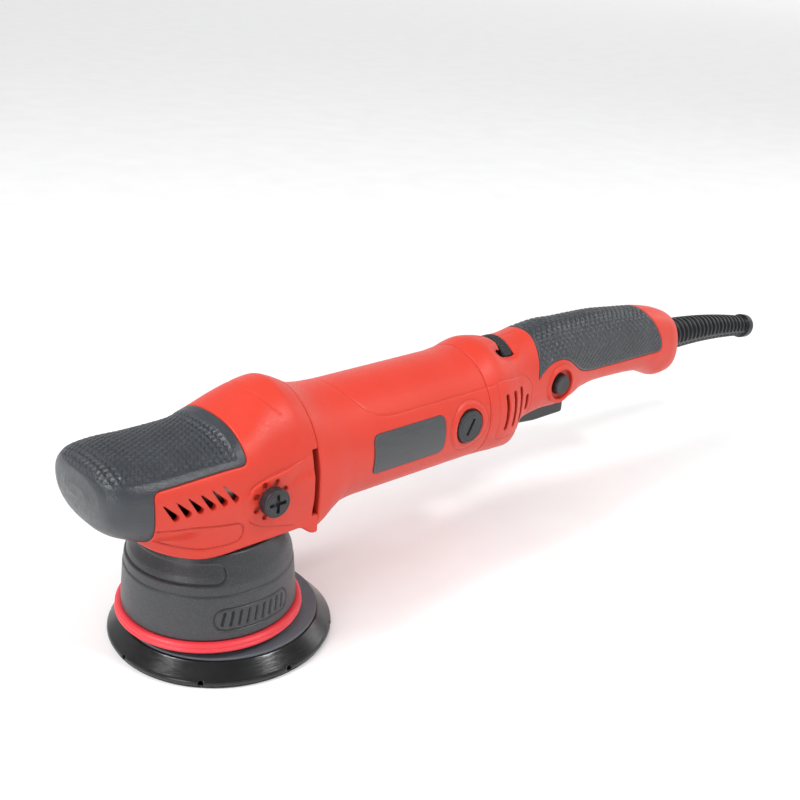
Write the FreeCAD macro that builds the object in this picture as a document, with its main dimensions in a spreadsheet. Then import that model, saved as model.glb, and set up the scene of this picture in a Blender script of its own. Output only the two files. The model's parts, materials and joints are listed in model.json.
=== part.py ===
import FreeCAD, Part
import math
import os
import re

import Sketcher

# A corded dual action polisher with a 125 mm backing plate.
#
# Frame: millimetres, +Z up.  The origin is the point where the main spindle's axis
# meets the working face of the backing plate.  +X runs back along the motor to the
# rear handle, and -Y is the operator's left, the side with the lock button.
#
# From front to back the machine is a head (bevel gears on the upright main spindle),
# a motor tube and a two-part handle.  The main spindle turns a counterweight that
# carries the pad spindle off centre, so that the backing plate orbits and can also
# spin freely on its own two bearings.

doc = FreeCAD.newDocument("dual_action_polisher")

# ---------------------------------------------------------------- driving dimensions

SIZES = (
    ("plate_radius", 62.5, "backing plate, 125 mm across its working edge"),
    ("plate_rim_radius", 54.3, "top edge of the plate's cone"),
    ("plate_height", 11.6, "top of the moulded plate"),
    ("hook_thickness", 1.2, "hook face under the plate"),
    ("disc_thickness", 1.4, "stiffening disc on top of the plate"),
    ("orbit_offset", 7.5, "pad spindle to main spindle, half of a 15 mm orbit"),
    ("stud_radius", 4.0, "M8 stud in the plate"),
    ("pad_shaft_radius", 6.0, "bore of the two pad bearings"),
    ("pad_bearing_radius", 14.0, "outside of a 12 x 28 x 8 bearing"),
    ("pad_bearing_width", 8.0, "one pad bearing"),
    ("cup_bottom", 22.0, "underside of the counterweight's cup"),
    ("cup_wall", 4.5, "cup around the pad bearings"),
    ("hub_bottom", 44.0, "counterweight hub, underside"),
    ("hub_top", 58.0, "counterweight hub, top"),
    ("hub_radius", 17.0, "counterweight hub"),
    ("balance_radius", 39.0, "balance sector of the counterweight"),
    ("spindle_radius", 6.0, "main spindle in the counterweight"),
    ("lower_bore", 7.5, "15 x 35 x 11 bearing, bore"),
    ("lower_outer", 17.5, "15 x 35 x 11 bearing, outside"),
    ("lower_seat", 66.0, "underside of the lower bearing and of the head casing"),
    ("lower_width", 11.0, "lower bearing"),
    ("upper_bore", 4.0, "8 x 22 x 7 bearing, bore"),
    ("upper_outer", 11.0, "8 x 22 x 7 bearing, outside"),
    ("upper_seat", 106.0, "underside of the upper spindle bearing"),
    ("small_bearing_width", 7.0, "8 x 22 x 7 bearing"),
    ("front_bore", 5.0, "10 x 30 x 9 bearing, bore"),
    ("front_outer", 15.0, "10 x 30 x 9 bearing, outside"),
    ("front_seat", 33.0, "front face of the front motor bearing"),
    ("front_width", 9.0, "front motor bearing"),
    ("running_gap", 0.03, "radial running clearance in bearings"),
    ("motor_axis", 96.0, "height of the armature's axis"),
    ("gear_module", 1.5, "bevel gear module at the outer end"),
    ("gear_teeth", 36.0, "bevel gear on the main spindle"),
    ("pinion_teeth", 10.0, "bevel pinion on the armature"),
    ("gear_face", 7.0, "tooth length along the pitch cone"),
    ("gear_bore", 8.0, "bevel gear on the spindle"),
    ("pinion_bore", 4.0, "bevel pinion on the armature's shaft"),
    ("seam_front", 45.0, "joint between head and motor housing"),
    ("seam_rear", 179.0, "joint between motor housing and handle"),
    ("tube_bore", 32.4, "inside of the motor housing"),
    ("badge_radius", 35.6, "outside of the blank badge on the tube"),
    ("casing_wall", 3.4, "head and handle casings"),
    ("rubber_depth", 1.8, "soft grip let into a casing"),
    ("collar_radius", 44.7, "round front of the head above the shroud"),
    ("collar_width", 37.2, "half width of the head above the shroud"),
    ("shroud_radius", 48.0, "shroud at its lower edge"),
    ("shroud_wall", 2.6, "shroud wall"),
    ("shroud_bottom", 17.2, "lower lip of the shroud"),
    ("shroud_clamp", 63.8, "underside of the shroud's inner flange"),
    ("ring_radius", 51.5, "outside of the bumper ring"),
    ("core_front", 84.0, "front of stator and armature cores"),
    ("core_length", 48.0, "stator and armature cores"),
    ("armature_radius", 20.8, "armature core"),
    ("air_gap", 0.5, "between armature and stator"),
    ("commutator_radius", 13.2, "commutator"),
    ("brush_place", 161.0, "distance of the brushes behind the spindle axis"),
    ("brush_length", 10.0, "brush along the motor axis"),
    ("brush_height", 6.0, "brush across the motor axis"),
    ("cap_radius", 10.2, "brush cap"),
    ("plug_radius", 8.0, "side socket plug"),
    ("socket_radius", 4.0, "M8 side handle socket"),
    ("socket_place", 12.0, "side sockets behind the spindle axis"),
    ("socket_height", 93.4, "side sockets above the pad face"),
    ("trigger_front", 221.5, "front of the trigger"),
    ("trigger_length", 58.5, "trigger"),
    ("trigger_half_width", 9.5, "trigger"),
    ("trigger_bottom", 68.4, "underside of the trigger at rest"),
    ("pin_place", 227.0, "trigger pin behind the spindle axis"),
    ("pin_height", 85.0, "trigger pin above the pad face"),
    ("pin_radius", 1.5, "trigger pin"),
    ("lock_place", 256.0, "lock button behind the spindle axis"),
    ("lock_height", 99.0, "lock button above the pad face"),
    ("lock_radius", 6.7, "lock button"),
    ("dial_place", 208.2, "front face of the speed dial"),
    ("dial_width", 8.0, "speed dial"),
    ("dial_radius", 18.0, "speed dial"),
    ("dial_height", 115.4, "axis of the speed dial above the pad face"),
    ("cord_radius", 3.9, "mains cord"),
    ("guard_root", 12.2, "cord guard at the handle"),
    ("guard_end", 7.7, "cord guard at its free end"),
    ("screw_radius", 2.0, "4 mm casing screws"),
)

sizes = doc.addObject("Spreadsheet::Sheet", "Sizes")
for row, (alias, value, meaning) in enumerate(SIZES, start=1):
    sizes.set("A%d" % row, alias)
    sizes.set("B%d" % row, repr(value))
    sizes.set("C%d" % row, meaning)
    sizes.setAlias("B%d" % row, alias)
doc.recompute()

ALIASES = {alias for alias, value, meaning in SIZES}


def size(alias):
    """A driving dimension as a number, for the shapes that are worked out in code."""
    return float(getattr(sizes, alias))


def cell(text):
    """An expression with every alias written as a cell of the sheet."""
    return re.sub(r"[a-z][a-z_]*", lambda word: "Sizes." + word.group(0)
                  if word.group(0) in ALIASES else word.group(0), str(text))


SPINDLE_TOP = 112.5        # upper end of the main spindle
OVERSHOOT = 1.0            # how far a cutting tool runs past the face it cuts
QUARTER = 90.0             # quarter turn, in degrees

X_AXIS = FreeCAD.Vector(1, 0, 0)
Y_AXIS = FreeCAD.Vector(0, 1, 0)
Z_AXIS = FreeCAD.Vector(0, 0, 1)
TURNS = {
    "+Z": FreeCAD.Rotation(),
    "+X": FreeCAD.Rotation(Y_AXIS, QUARTER),
    "+Y": FreeCAD.Rotation(X_AXIS, -QUARTER),
    "-Y": FreeCAD.Rotation(X_AXIS, QUARTER),
}

parts = []                 # the finished sub-parts, in the order they are built


def finished(piece):
    """Mark a piece as one of the machine's sub-parts."""
    parts.append(piece)
    return piece


# ---------------------------------------------------------------- building blocks

def bind(piece, **values):
    for name, value in values.items():
        piece.setExpression(name, cell(value))


def place(piece, x=0, y=0, z=0, along="+Z"):
    """Put a piece's own origin at x, y, z with its own Z along the named direction."""
    piece.Placement = FreeCAD.Placement(FreeCAD.Vector(), TURNS[along])
    for name, value in (("x", x), ("y", y), ("z", z)):
        piece.setExpression("Placement.Base." + name, cell(value))
    return piece


def cylinder(label, radius, height, x=0, y=0, z=0, along="+Z"):
    piece = doc.addObject("Part::Cylinder", label)
    bind(piece, Radius=radius, Height=height)
    return place(piece, x, y, z, along)


def box(label, lengths, x=0, y=0, z=0):
    """A box with its lowest corner at x, y, z."""
    piece = doc.addObject("Part::Box", label)
    bind(piece, Length=lengths[0], Width=lengths[1], Height=lengths[2])
    return place(piece, x, y, z)


def fuse(label, *pieces):
    union = doc.addObject("Part::MultiFuse", label)
    union.Shapes = list(pieces)
    return union


def cut(label, base, *tools):
    result = doc.addObject("Part::Cut", label)
    result.Base = base
    result.Tool = tools[0] if len(tools) == 1 else fuse(label + "_tools", *tools)
    return result


def common(label, first, second):
    result = doc.addObject("Part::Common", label)
    result.Base = first
    result.Tool = second
    return result


def group(label, *pieces):
    """Alike pieces that share a file and stay separate solids."""
    together = doc.addObject("Part::Compound", label)
    together.Links = list(pieces)
    return together


def free_shape(label, shape):
    """A piece whose form is worked out in code."""
    piece = doc.addObject("Part::Feature", label)
    piece.Shape = shape
    return piece


def turned(label, profile, x=0, y=0, z=0, along="+Z"):
    """A body of revolution.  profile lists (radius, distance along the axis) corners."""
    body = doc.addObject("PartDesign::Body", label)
    sketch = body.newObject("Sketcher::SketchObject", label + "_profile")
    plane = [item for item in body.Origin.OriginFeatures if item.Role == "XZ_Plane"][0]
    sketch.AttachmentSupport = [(plane, "")]
    sketch.MapMode = "FlatFace"
    expressions = [[cell(value) for value in corner] for corner in profile]
    values = [[float(getattr(number, "Value", number)) for number in
               (sketch.evalExpression(text) for text in corner)] for corner in expressions]
    count = len(profile)
    for index in range(count):
        start = FreeCAD.Vector(*values[index])
        end = FreeCAD.Vector(*values[(index + 1) % count])
        sketch.addGeometry(Part.LineSegment(start, end), False)
    for index in range(count):
        sketch.addConstraint(Sketcher.Constraint("Coincident", index, 2, (index + 1) % count, 1))
    for index in range(count):
        for kind, value, text in zip(("DistanceX", "DistanceY"), values[index], expressions[index]):
            number = sketch.addConstraint(Sketcher.Constraint(kind, -1, 1, index, 1, value))
            if "Sizes" in text:
                sketch.setExpression("Constraints[%d]" % number, text)
    turn = body.newObject("PartDesign::Revolution", label + "_turn")
    turn.Profile = sketch
    turn.ReferenceAxis = (sketch, ["V_Axis"])
    turn.Angle = 360
    return place(body, x, y, z, along)


def turned_ring(label, inner, outer, start, length, **where):
    """A plain ring or tube as a body of revolution."""
    end = "%s + %s" % (start, length)
    return turned(label, [(inner, start), (outer, start), (outer, end), (inner, end)], **where)


def ball_bearing(label, bore, outer, width, **where):
    """A shielded bearing: a ring with a shallow groove in each face."""
    lip = 2.0
    sink = 0.6
    groove_in = "%s + %g" % (bore, lip)
    groove_out = "%s - %g" % (outer, lip)
    top = "%s - %g" % (width, sink)
    profile = [(bore, 0), (groove_in, 0), (groove_in, sink), (groove_out, sink), (groove_out, 0),
               (outer, 0), (outer, width), (groove_out, width), (groove_out, top),
               (groove_in, top), (groove_in, width), (bore, width)]
    return turned(label, profile, **where)


def round_about(shape, count, axis, centre=FreeCAD.Vector(), first=0.0):
    """Copies of a shape spread evenly round an axis."""
    copies = []
    for index in range(count):
        copy = shape.copy()
        copy.rotate(centre, axis, first + 360.0 * index / count)
        copies.append(copy)
    return copies


def joined(shapes):
    return shapes[0].fuse(shapes[1:]) if len(shapes) > 1 else shapes[0]


def solid_cylinder(radius, length, start, axis):
    return Part.makeCylinder(radius, length, FreeCAD.Vector(*start), axis)


def solid_box(low, high):
    low = FreeCAD.Vector(*low)
    span = FreeCAD.Vector(*high) - low
    return Part.makeBox(span.x, span.y, span.z, low)


def screw_shape(start, axis, length, head_radius=3.6, head_height=2.6):
    """A pan-head screw.  start is the centre of the underside of its head."""
    radius = size("screw_radius")
    start = FreeCAD.Vector(*start)
    shank = Part.makeCylinder(radius, length, start, axis)
    head = Part.makeCylinder(head_radius, head_height, start, -axis)
    socket = Part.makeCylinder(radius * 0.8, head_height / 2, start - axis * head_height, axis)
    return shank.fuse(head).cut(socket)


# ---------------------------------------------------------------- the outer hull
#
# The casings are lofted through upright sections.  A section is a superellipse whose
# upper and lower halves have powers of their own: 2 is round, 6 is nearly square.
# Columns: distance behind the spindle axis, half width, top, bottom, power of the upper
# half, power of the lower half, height of the widest point.

HEAD = (
    (-76, 16.0, 114.0, 101.0, 2.2, 2.2, 108.0),
    (-75, 23.0, 119.0, 96.0, 2.3, 2.3, 107.5),
    (-71, 29.5, 123.0, 88.5, 2.5, 2.6, 107.0),
    (-63, 34.0, 124.8, 84.0, 2.7, 2.8, 106.0),
    (-52, 36.5, 124.8, 80.5, 2.8, 3.2, 104.0),
    (-38, 37.7, 124.2, 80.0, 2.8, 4.0, 101.0),
    (-12, 38.0, 125.8, 79.0, 2.6, 4.0, 98.0),
    (2, 38.0, 131.5, 78.0, 2.4, 4.0, 97.0),
    (14, 38.0, 138.0, 77.0, 2.2, 4.0, 97.0),
    (24, 38.3, 142.5, 76.0, 2.0, 4.0, 97.0),
    (34, 38.5, 144.0, 75.0, 2.0, 4.0, 97.0),
    (40, 38.5, 142.0, 74.0, 2.0, 4.0, 97.0),
    (45, 38.5, 139.5, 73.0, 2.0, 4.0, 97.0),
)
MOTOR = (
    (45, 38.5, 139.5, 58.0, 2.0, 5.0, 97.0),
    (52, 38.0, 135.5, 59.0, 2.0, 4.0, 96.5),
    (60, 37.3, 133.0, 60.5, 2.0, 2.9, 96.2),
    (70, 35.9, 131.8, 60.7, 2.0, 2.2, 96.0),
    (85, 35.3, 131.3, 60.7, 2.0, 2.0, 96.0),
    (165, 35.3, 131.3, 60.7, 2.0, 2.0, 96.0),
    (179, 35.5, 132.5, 60.7, 2.0, 2.0, 96.0),
)
HANDLE = (
    (179, 35.5, 132.5, 60.7, 2.0, 2.0, 96.0),
    (192, 35.5, 136.0, 61.0, 2.0, 2.2, 96.0),
    (203, 33.5, 134.5, 61.0, 2.0, 2.5, 97.0),
    (210, 31.0, 132.5, 60.8, 2.0, 2.8, 98.0),
    (218, 28.0, 132.0, 74.0, 2.1, 3.0, 100.0),
    (225, 26.5, 132.2, 77.0, 2.1, 3.0, 101.0),
    (245, 25.0, 135.0, 79.0, 2.2, 3.0, 102.0),
    (262, 24.0, 136.0, 77.8, 2.3, 3.0, 103.0),
    (276, 22.0, 135.3, 79.0, 2.3, 3.0, 104.0),
    (290, 20.0, 135.0, 82.0, 2.4, 2.6, 105.0),
    (310, 19.0, 134.3, 83.4, 2.4, 2.4, 106.0),
    (340, 19.0, 131.0, 82.3, 2.4, 2.4, 105.0),
    (362, 19.0, 128.3, 80.0, 2.4, 2.4, 102.0),
    (374, 19.5, 126.0, 75.5, 2.4, 2.2, 99.0),
    (386, 19.5, 122.8, 71.5, 2.4, 2.2, 96.0),
    (396, 18.0, 118.0, 72.0, 2.4, 2.2, 94.0),
    (400, 14.0, 112.0, 76.0, 2.2, 2.2, 92.0),
)


def slopes(xs, ys):
    """Slopes of a curve through the points that never swings past them."""
    steps = [(ys[i + 1] - ys[i]) / (xs[i + 1] - xs[i]) for i in range(len(xs) - 1)]
    inner = []
    for i in range(1, len(xs) - 1):
        before, after = steps[i - 1], steps[i]
        if before * after <= 0:
            inner.append(0.0)
        else:
            near = xs[i] - xs[i - 1]
            far = xs[i + 1] - xs[i]
            weight_a = 2 * far + near
            weight_b = far + 2 * near
            inner.append((weight_a + weight_b) / (weight_a / before + weight_b / after))
    return [steps[0]] + inner + [steps[-1]]


def station_at(stations, x):
    """The section values at any x, smoothly between the stations."""
    xs = [station[0] for station in stations]
    index = max(i for i in range(len(xs) - 1) if xs[i] <= x or i == 0)
    width = xs[index + 1] - xs[index]
    u = (x - xs[index]) / width
    row = []
    for column in range(1, len(stations[0])):
        ys = [station[column] for station in stations]
        slope = slopes(xs, ys)
        row.append((1 + 2 * u) * (1 - u) ** 2 * ys[index] + u * (1 - u) ** 2 * width * slope[index]
                   + u * u * (3 - 2 * u) * ys[index + 1] + u * u * (u - 1) * width * slope[index + 1])
    return row


def section_wire(stations, x, inset, corners=36):
    half, top, bottom, power_up, power_down, middle = station_at(stations, x)
    points = []
    for index in range(corners):
        angle = 2 * math.pi * index / corners
        across, up = math.cos(angle), math.sin(angle)
        power = power_up if up >= 0 else power_down
        reach = (top - inset - middle) if up >= 0 else (middle - bottom - inset)
        y = math.copysign(abs(across) ** (2 / power), across) * (half - inset)
        z = middle + math.copysign(abs(up) ** (2 / power), up) * reach
        points.append(FreeCAD.Vector(x, y, z))
    curve = Part.BSplineCurve()
    curve.interpolate(Points=points, PeriodicFlag=True)
    return Part.Wire([curve.toShape()])


def hull(stations, first, last, inset=0.0, spacing=7.0):
    """A solid lofted through the sections from x = first to x = last."""
    known = [station[0] for station in stations if first < station[0] < last]
    marks = sorted({first, last, *known})
    places = []
    for start, end in zip(marks, marks[1:]):
        pieces = max(1, round((end - start) / spacing))
        places += [start + (end - start) * i / pieces for i in range(pieces)]
    wires = [section_wire(stations, x, inset) for x in places + [last]]
    return Part.makeLoft(wires, True, True)


# ---------------------------------------------------------------- backing plate

def build_backing_plate():
    rim_edge = 1.3
    flange_seat = 6.0
    flange_radius = 16.5
    hook_radius = "plate_radius - %g" % rim_edge
    finished(cylinder("hook_face", hook_radius, "hook_thickness", x="orbit_offset"))

    lower = "hook_thickness"
    body = turned("plate_cone", [
        (0, lower), (hook_radius, lower), ("plate_radius", "hook_thickness + 1.2"),
        ("plate_radius - 0.3", "hook_thickness + 2.4"), ("plate_rim_radius", "plate_height"),
        (flange_radius, "plate_height"), (flange_radius, flange_seat), (0, flange_seat)],
        x="orbit_offset")
    notches = [cylinder("rim_notch_%d" % index, 1.1, 6) for index in range(8)]
    for index, notch in enumerate(notches):
        angle = 2.0 + 45.0 * index
        reach = size("plate_radius") - 5.0
        notch.Placement = FreeCAD.Placement(
            FreeCAD.Vector(size("orbit_offset") + reach * math.cos(math.radians(angle)),
                           reach * math.sin(math.radians(angle)), 2.6),
            FreeCAD.Rotation(Z_AXIS, angle).multiply(FreeCAD.Rotation(Y_AXIS, QUARTER)))
    finished(cut("backing_plate", body, *notches))

    finished(turned_ring("stiffening_disc", flange_radius, "plate_rim_radius - 0.5",
                         "plate_height", "disc_thickness", x="orbit_offset"))
    boss = 9.0
    finished(turned("plate_stud", [
        (0, flange_seat), (flange_radius, flange_seat), (flange_radius, 9.0), (boss, 9.0),
        (boss, 16.8), ("stud_radius", 16.8), ("stud_radius", 30), (0, 30)], x="orbit_offset"))


def build_pad_spindle():
    shaft = "pad_shaft_radius - running_gap"
    shoulder = "cup_bottom - 0.4"
    top = "cup_bottom + 2 * pad_bearing_width + 4.6"
    finished(turned("pad_spindle", [
        ("stud_radius", 16.8), (11, 16.8), (11, 20.2), (8, 20.2), (8, shoulder), (shaft, shoulder),
        (shaft, "cup_bottom + 18.4"), (5.2, "cup_bottom + 18.4"), (5.2, "cup_bottom + 19.4"),
        (shaft, "cup_bottom + 19.4"), (shaft, top), (0, top), (0, 31), ("stud_radius", 31)],
        x="orbit_offset"))
    finished(turned_ring("pad_circlip", 5.2, 8.2, "cup_bottom + 18.4", "1", x="orbit_offset"))


# ---------------------------------------------------------------- main spindle

def build_counterweight():
    hub = cylinder("weight_hub", "hub_radius", "hub_top - hub_bottom", z="hub_bottom")
    cup = cylinder("weight_cup", "pad_bearing_radius + cup_wall", "hub_bottom + 2 - cup_bottom",
                   x="orbit_offset", z="cup_bottom")
    disc = cylinder("weight_disc", "balance_radius", "16", z="cup_bottom + 4")
    half = box("weight_half", ("balance_radius", "2 * balance_radius", "20"),
               x="-balance_radius - 4", y="-balance_radius", z="cup_bottom + 2")
    sector = common("weight_sector", disc, half)
    blank = fuse("weight_blank", hub, cup, sector)
    pocket = cylinder("weight_pocket", "pad_bearing_radius", "2 * pad_bearing_width + 2.1",
                      x="orbit_offset", z="cup_bottom - 0.1")
    relief = cylinder("weight_relief", "9.2", "hub_bottom - 0.8 - cup_bottom",
                      x="orbit_offset", z="cup_bottom")
    bore = cylinder("weight_bore", "spindle_radius", "hub_top - hub_bottom",
                    z="hub_bottom + 2")
    finished(cut("counterweight", blank, pocket, relief, bore))
    heights = ("cup_bottom", "cup_bottom + pad_bearing_width + 2")
    pair = [ball_bearing("pad_bearing_%d" % number, "pad_shaft_radius", "pad_bearing_radius",
                         "pad_bearing_width", x="orbit_offset", z=height)
            for number, height in enumerate(heights, start=1)]
    finished(group("pad_bearings", *pair))


def build_spindle():
    collar = "lower_bore - running_gap"
    neck = 5.5
    tip = "upper_bore - running_gap"
    bearing_top = "lower_seat + lower_width + 0.6"
    profile = [
        (0, "hub_bottom + 2"), ("spindle_radius", "hub_bottom + 2"), ("spindle_radius", 60),
        (collar, 60), (collar, bearing_top), ("gear_bore", bearing_top), ("gear_bore", 89.2),
        (7.2, 89.2), (7.2, 90.2), ("gear_bore", 90.2), ("gear_bore", 91), (neck, 91),
        (neck, "upper_seat - 1"), (tip, "upper_seat - 1"), (tip, SPINDLE_TOP), (0, SPINDLE_TOP)]
    blank = turned("spindle_blank", profile)
    keyway = box("spindle_keyway", (3, 4, 8), x=6.2, y=-2, z=80)
    finished(cut("spindle", blank, keyway))
    finished(box("gear_key", (3, 4, 8), x=6.2, y=-2, z=80))
    finished(turned_ring("spindle_circlip", 7.2, 10, 89.2, 1))


def tooth_outline(virtual_teeth, above, below):
    """Half-tooth corners as (height over the pitch line, distance from the tooth's middle)."""
    module = size("gear_module")
    pressure = math.radians(25.0)
    backlash = 0.16
    pitch = module * virtual_teeth / 2
    base = pitch * math.cos(pressure)
    half_angle = (math.pi * module / 2 - backlash) / 2 / pitch
    at_pitch = math.tan(pressure) - pressure
    corners = []
    steps = 6
    for index in range(steps + 1):
        radius = pitch - below + (above + below) * index / steps
        roll = math.acos(base / radius) if radius > base else 0.0
        angle = half_angle + at_pitch - (math.tan(roll) - roll)
        corners.append((radius * math.cos(angle) - pitch, radius * math.sin(angle)))
    return corners


def bevel_tooth(teeth, mate_teeth, above, below):
    """One tooth of a straight bevel gear about +Z, with its apex at the origin, facing up."""
    module = size("gear_module")
    root_sink = 0.25
    cone = math.atan2(teeth, mate_teeth)
    pitch_radius = module * teeth / 2
    pitch_drop = module * mate_teeth / 2
    outline = tooth_outline(teeth / math.cos(cone), above, below + root_sink)
    inner = 1.0 - size("gear_face") / math.hypot(pitch_radius, pitch_drop)
    loop = [(height, -along) for height, along in outline]
    loop += [(height, along) for height, along in reversed(outline)]
    rings = []
    for scale in (1.0, inner):
        points = [FreeCAD.Vector(pitch_radius + height * math.cos(cone), along,
                                 height * math.sin(cone) - pitch_drop) * scale
                  for height, along in loop]
        rings.append(Part.makePolygon(points + [points[0]]))
    return Part.makeLoft(rings, True, True)


def build_gears():
    """A 36-tooth gear on the spindle and a 10-tooth pinion, meeting at the motor axis."""
    module = size("gear_module")
    gear_teeth, pinion_teeth = int(size("gear_teeth")), int(size("pinion_teeth"))
    gear_above, pinion_above = 0.7 * module, 0.9 * module
    clearance = 0.3 * module
    axis_height = size("motor_axis")
    apex = FreeCAD.Vector(0, 0, axis_height)
    cone = math.atan2(gear_teeth, pinion_teeth)
    gear_radius, pinion_radius = module * gear_teeth / 2, module * pinion_teeth / 2
    inner = 1.0 - size("gear_face") / math.hypot(gear_radius, pinion_radius)

    gear_below = pinion_above + clearance
    root_out = gear_radius - gear_below * math.cos(cone)
    root_drop = pinion_radius + gear_below * math.sin(cone)
    blank = Part.makePolygon([FreeCAD.Vector(*corner) for corner in (
        (size("gear_bore"), 0, 79), (18, 0, 79), (root_out, 0, 84),
        (root_out, 0, axis_height - root_drop),
        (root_out * inner, 0, axis_height - root_drop * inner),
        (12, 0, 88.6), (size("gear_bore"), 0, 88.6), (size("gear_bore"), 0, 79))])
    wheel = Part.Face(blank).revolve(FreeCAD.Vector(), Z_AXIS, 360)
    tooth = bevel_tooth(gear_teeth, pinion_teeth, gear_above, gear_below)
    tooth.translate(apex)
    half_pitch = 180.0 / gear_teeth
    wheel = joined([wheel] + round_about(tooth, gear_teeth, Z_AXIS, first=half_pitch))
    key_slot = solid_box((6.2, -2, 80), (9.2, 2, 89))
    finished(free_shape("bevel_gear", wheel.cut(key_slot).removeSplitter()))

    pinion_below = gear_above + clearance
    pinion_cone = math.atan2(pinion_teeth, gear_teeth)
    root = pinion_radius - pinion_below * math.cos(pinion_cone)
    root_back = gear_radius + pinion_below * math.sin(pinion_cone)
    shaft = size("pinion_bore")
    blank = Part.makePolygon([FreeCAD.Vector(radius, 0, -back) for radius, back in (
        (shaft, root_back * inner), (root * inner, root_back * inner), (root, root_back),
        (root, root_back + 1.6), (shaft, root_back + 1.6), (shaft, root_back * inner))])
    small = Part.Face(blank).revolve(FreeCAD.Vector(), Z_AXIS, 360)
    tooth = bevel_tooth(pinion_teeth, gear_teeth, pinion_above, pinion_below)
    small = joined([small] + round_about(tooth, pinion_teeth, Z_AXIS))
    small.rotate(FreeCAD.Vector(), Y_AXIS, -QUARTER)
    small.translate(apex)
    finished(free_shape("bevel_pinion", small.removeSplitter()))


# ---------------------------------------------------------------- gear housing

def build_gear_housing():
    """The cast case round the gears: a bowl, a neck for the motor bearing and a flange."""
    axis_height = size("motor_axis")
    seat = size("lower_seat")
    bowl_radius, room = 33.6, 30.6
    flange_floor = seat + 3.7
    roof = size("upper_seat") + size("small_bearing_width") + 2.5
    seam = size("seam_front")
    bowl = solid_cylinder(bowl_radius, 106 - seat, (0, 0, seat), Z_AXIS)
    boss = solid_cylinder(15.5, roof - 100, (0, 0, 100), Z_AXIS)
    neck = solid_cylinder(20.5, seam, (0, 0, axis_height), X_AXIS)
    flange = solid_cylinder(30.0, 5, (seam - 5, 0, axis_height), X_AXIS)
    flange = flange.common(solid_box((seam - 6, -40, flange_floor), (seam + 1, 40, 140)))
    socket_at = (size("socket_place"), -35.0, size("socket_height"))
    ears = solid_cylinder(9.0, 70, socket_at, Y_AXIS)
    blank = joined([bowl, boss, neck, flange, ears])

    gear_room = solid_cylinder(room, 24, (0, 0, 79), Z_AXIS)
    neck_room = solid_cylinder(12.5, 32, (4, 0, axis_height), X_AXIS)
    front_seat = solid_cylinder(size("front_outer"), 14, (size("front_seat"), 0, axis_height), X_AXIS)
    lower = solid_cylinder(size("lower_outer"), size("lower_width"), (0, 0, seat), Z_AXIS)
    lower_mouth = solid_cylinder(14.0, 5, (0, 0, seat + size("lower_width") - 1), Z_AXIS)
    upper = solid_cylinder(size("upper_outer"), size("small_bearing_width"),
                           (0, 0, size("upper_seat")), Z_AXIS)
    upper_mouth = solid_cylinder(8.0, 6, (0, 0, 102), Z_AXIS)
    rooms = [gear_room, neck_room, front_seat, lower, lower_mouth, upper, upper_mouth]
    for side in (-1, 1):
        rooms.append(solid_cylinder(size("socket_radius"), 6.5,
                                    (size("socket_place"), side * 36, size("socket_height")),
                                    FreeCAD.Vector(0, -side, 0)))
    rooms += motor_screw_holes(seam - 5 - OVERSHOOT, 5 + 2 * OVERSHOOT)
    rooms += retainer_screw_holes(seat - OVERSHOOT, 10)
    finished(free_shape("gear_housing", blank.cut(rooms).removeSplitter()))


MOTOR_SCREW_CIRCLE = 25.3
RETAINER_SCREW_CIRCLE = 24.5


def motor_screw_holes(start, length):
    hole = solid_cylinder(size("screw_radius"), length,
                          (start, 0, size("motor_axis") + MOTOR_SCREW_CIRCLE), X_AXIS)
    return round_about(hole, 4, X_AXIS, FreeCAD.Vector(0, 0, size("motor_axis")), 45)


def retainer_screw_holes(start, length):
    hole = solid_cylinder(size("screw_radius"), length, (RETAINER_SCREW_CIRCLE, 0, start), Z_AXIS)
    return round_about(hole, 4, Z_AXIS, first=45)


def build_head_fittings():
    finished(ball_bearing("spindle_bearing_lower", "lower_bore", "lower_outer", "lower_width",
                          z="lower_seat"))
    finished(ball_bearing("spindle_bearing_upper", "upper_bore", "upper_outer",
                          "small_bearing_width", z="upper_seat"))
    finished(ball_bearing("motor_bearing_front", "front_bore", "front_outer", "front_width",
                          x="front_seat", z="motor_axis", along="+X"))

    plate = turned("retainer_blank", [
        (9.5, 61), (34, 61), (34, "shroud_clamp"), (30, "shroud_clamp"), (30, "lower_seat"),
        (9.5, "lower_seat")])
    holes = free_shape("retainer_holes", joined(retainer_screw_holes(60, 7)))
    finished(cut("bearing_retainer", plate, holes))
    finished(turned_ring("spindle_seal", "lower_bore + running_gap", 9.5, 61.4, 4.2))

    length = 9.5
    screw = screw_shape((RETAINER_SCREW_CIRCLE, 0, 61), Z_AXIS, length)
    under = round_about(screw, 4, Z_AXIS, first=45)
    seam = size("seam_front")
    screw = screw_shape((seam - 5, 0, size("motor_axis") + MOTOR_SCREW_CIRCLE), X_AXIS, length)
    centre = FreeCAD.Vector(0, 0, size("motor_axis"))
    behind = round_about(screw, 4, X_AXIS, centre, 45)
    finished(free_shape("case_screws", Part.makeCompound(under + behind)))


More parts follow.
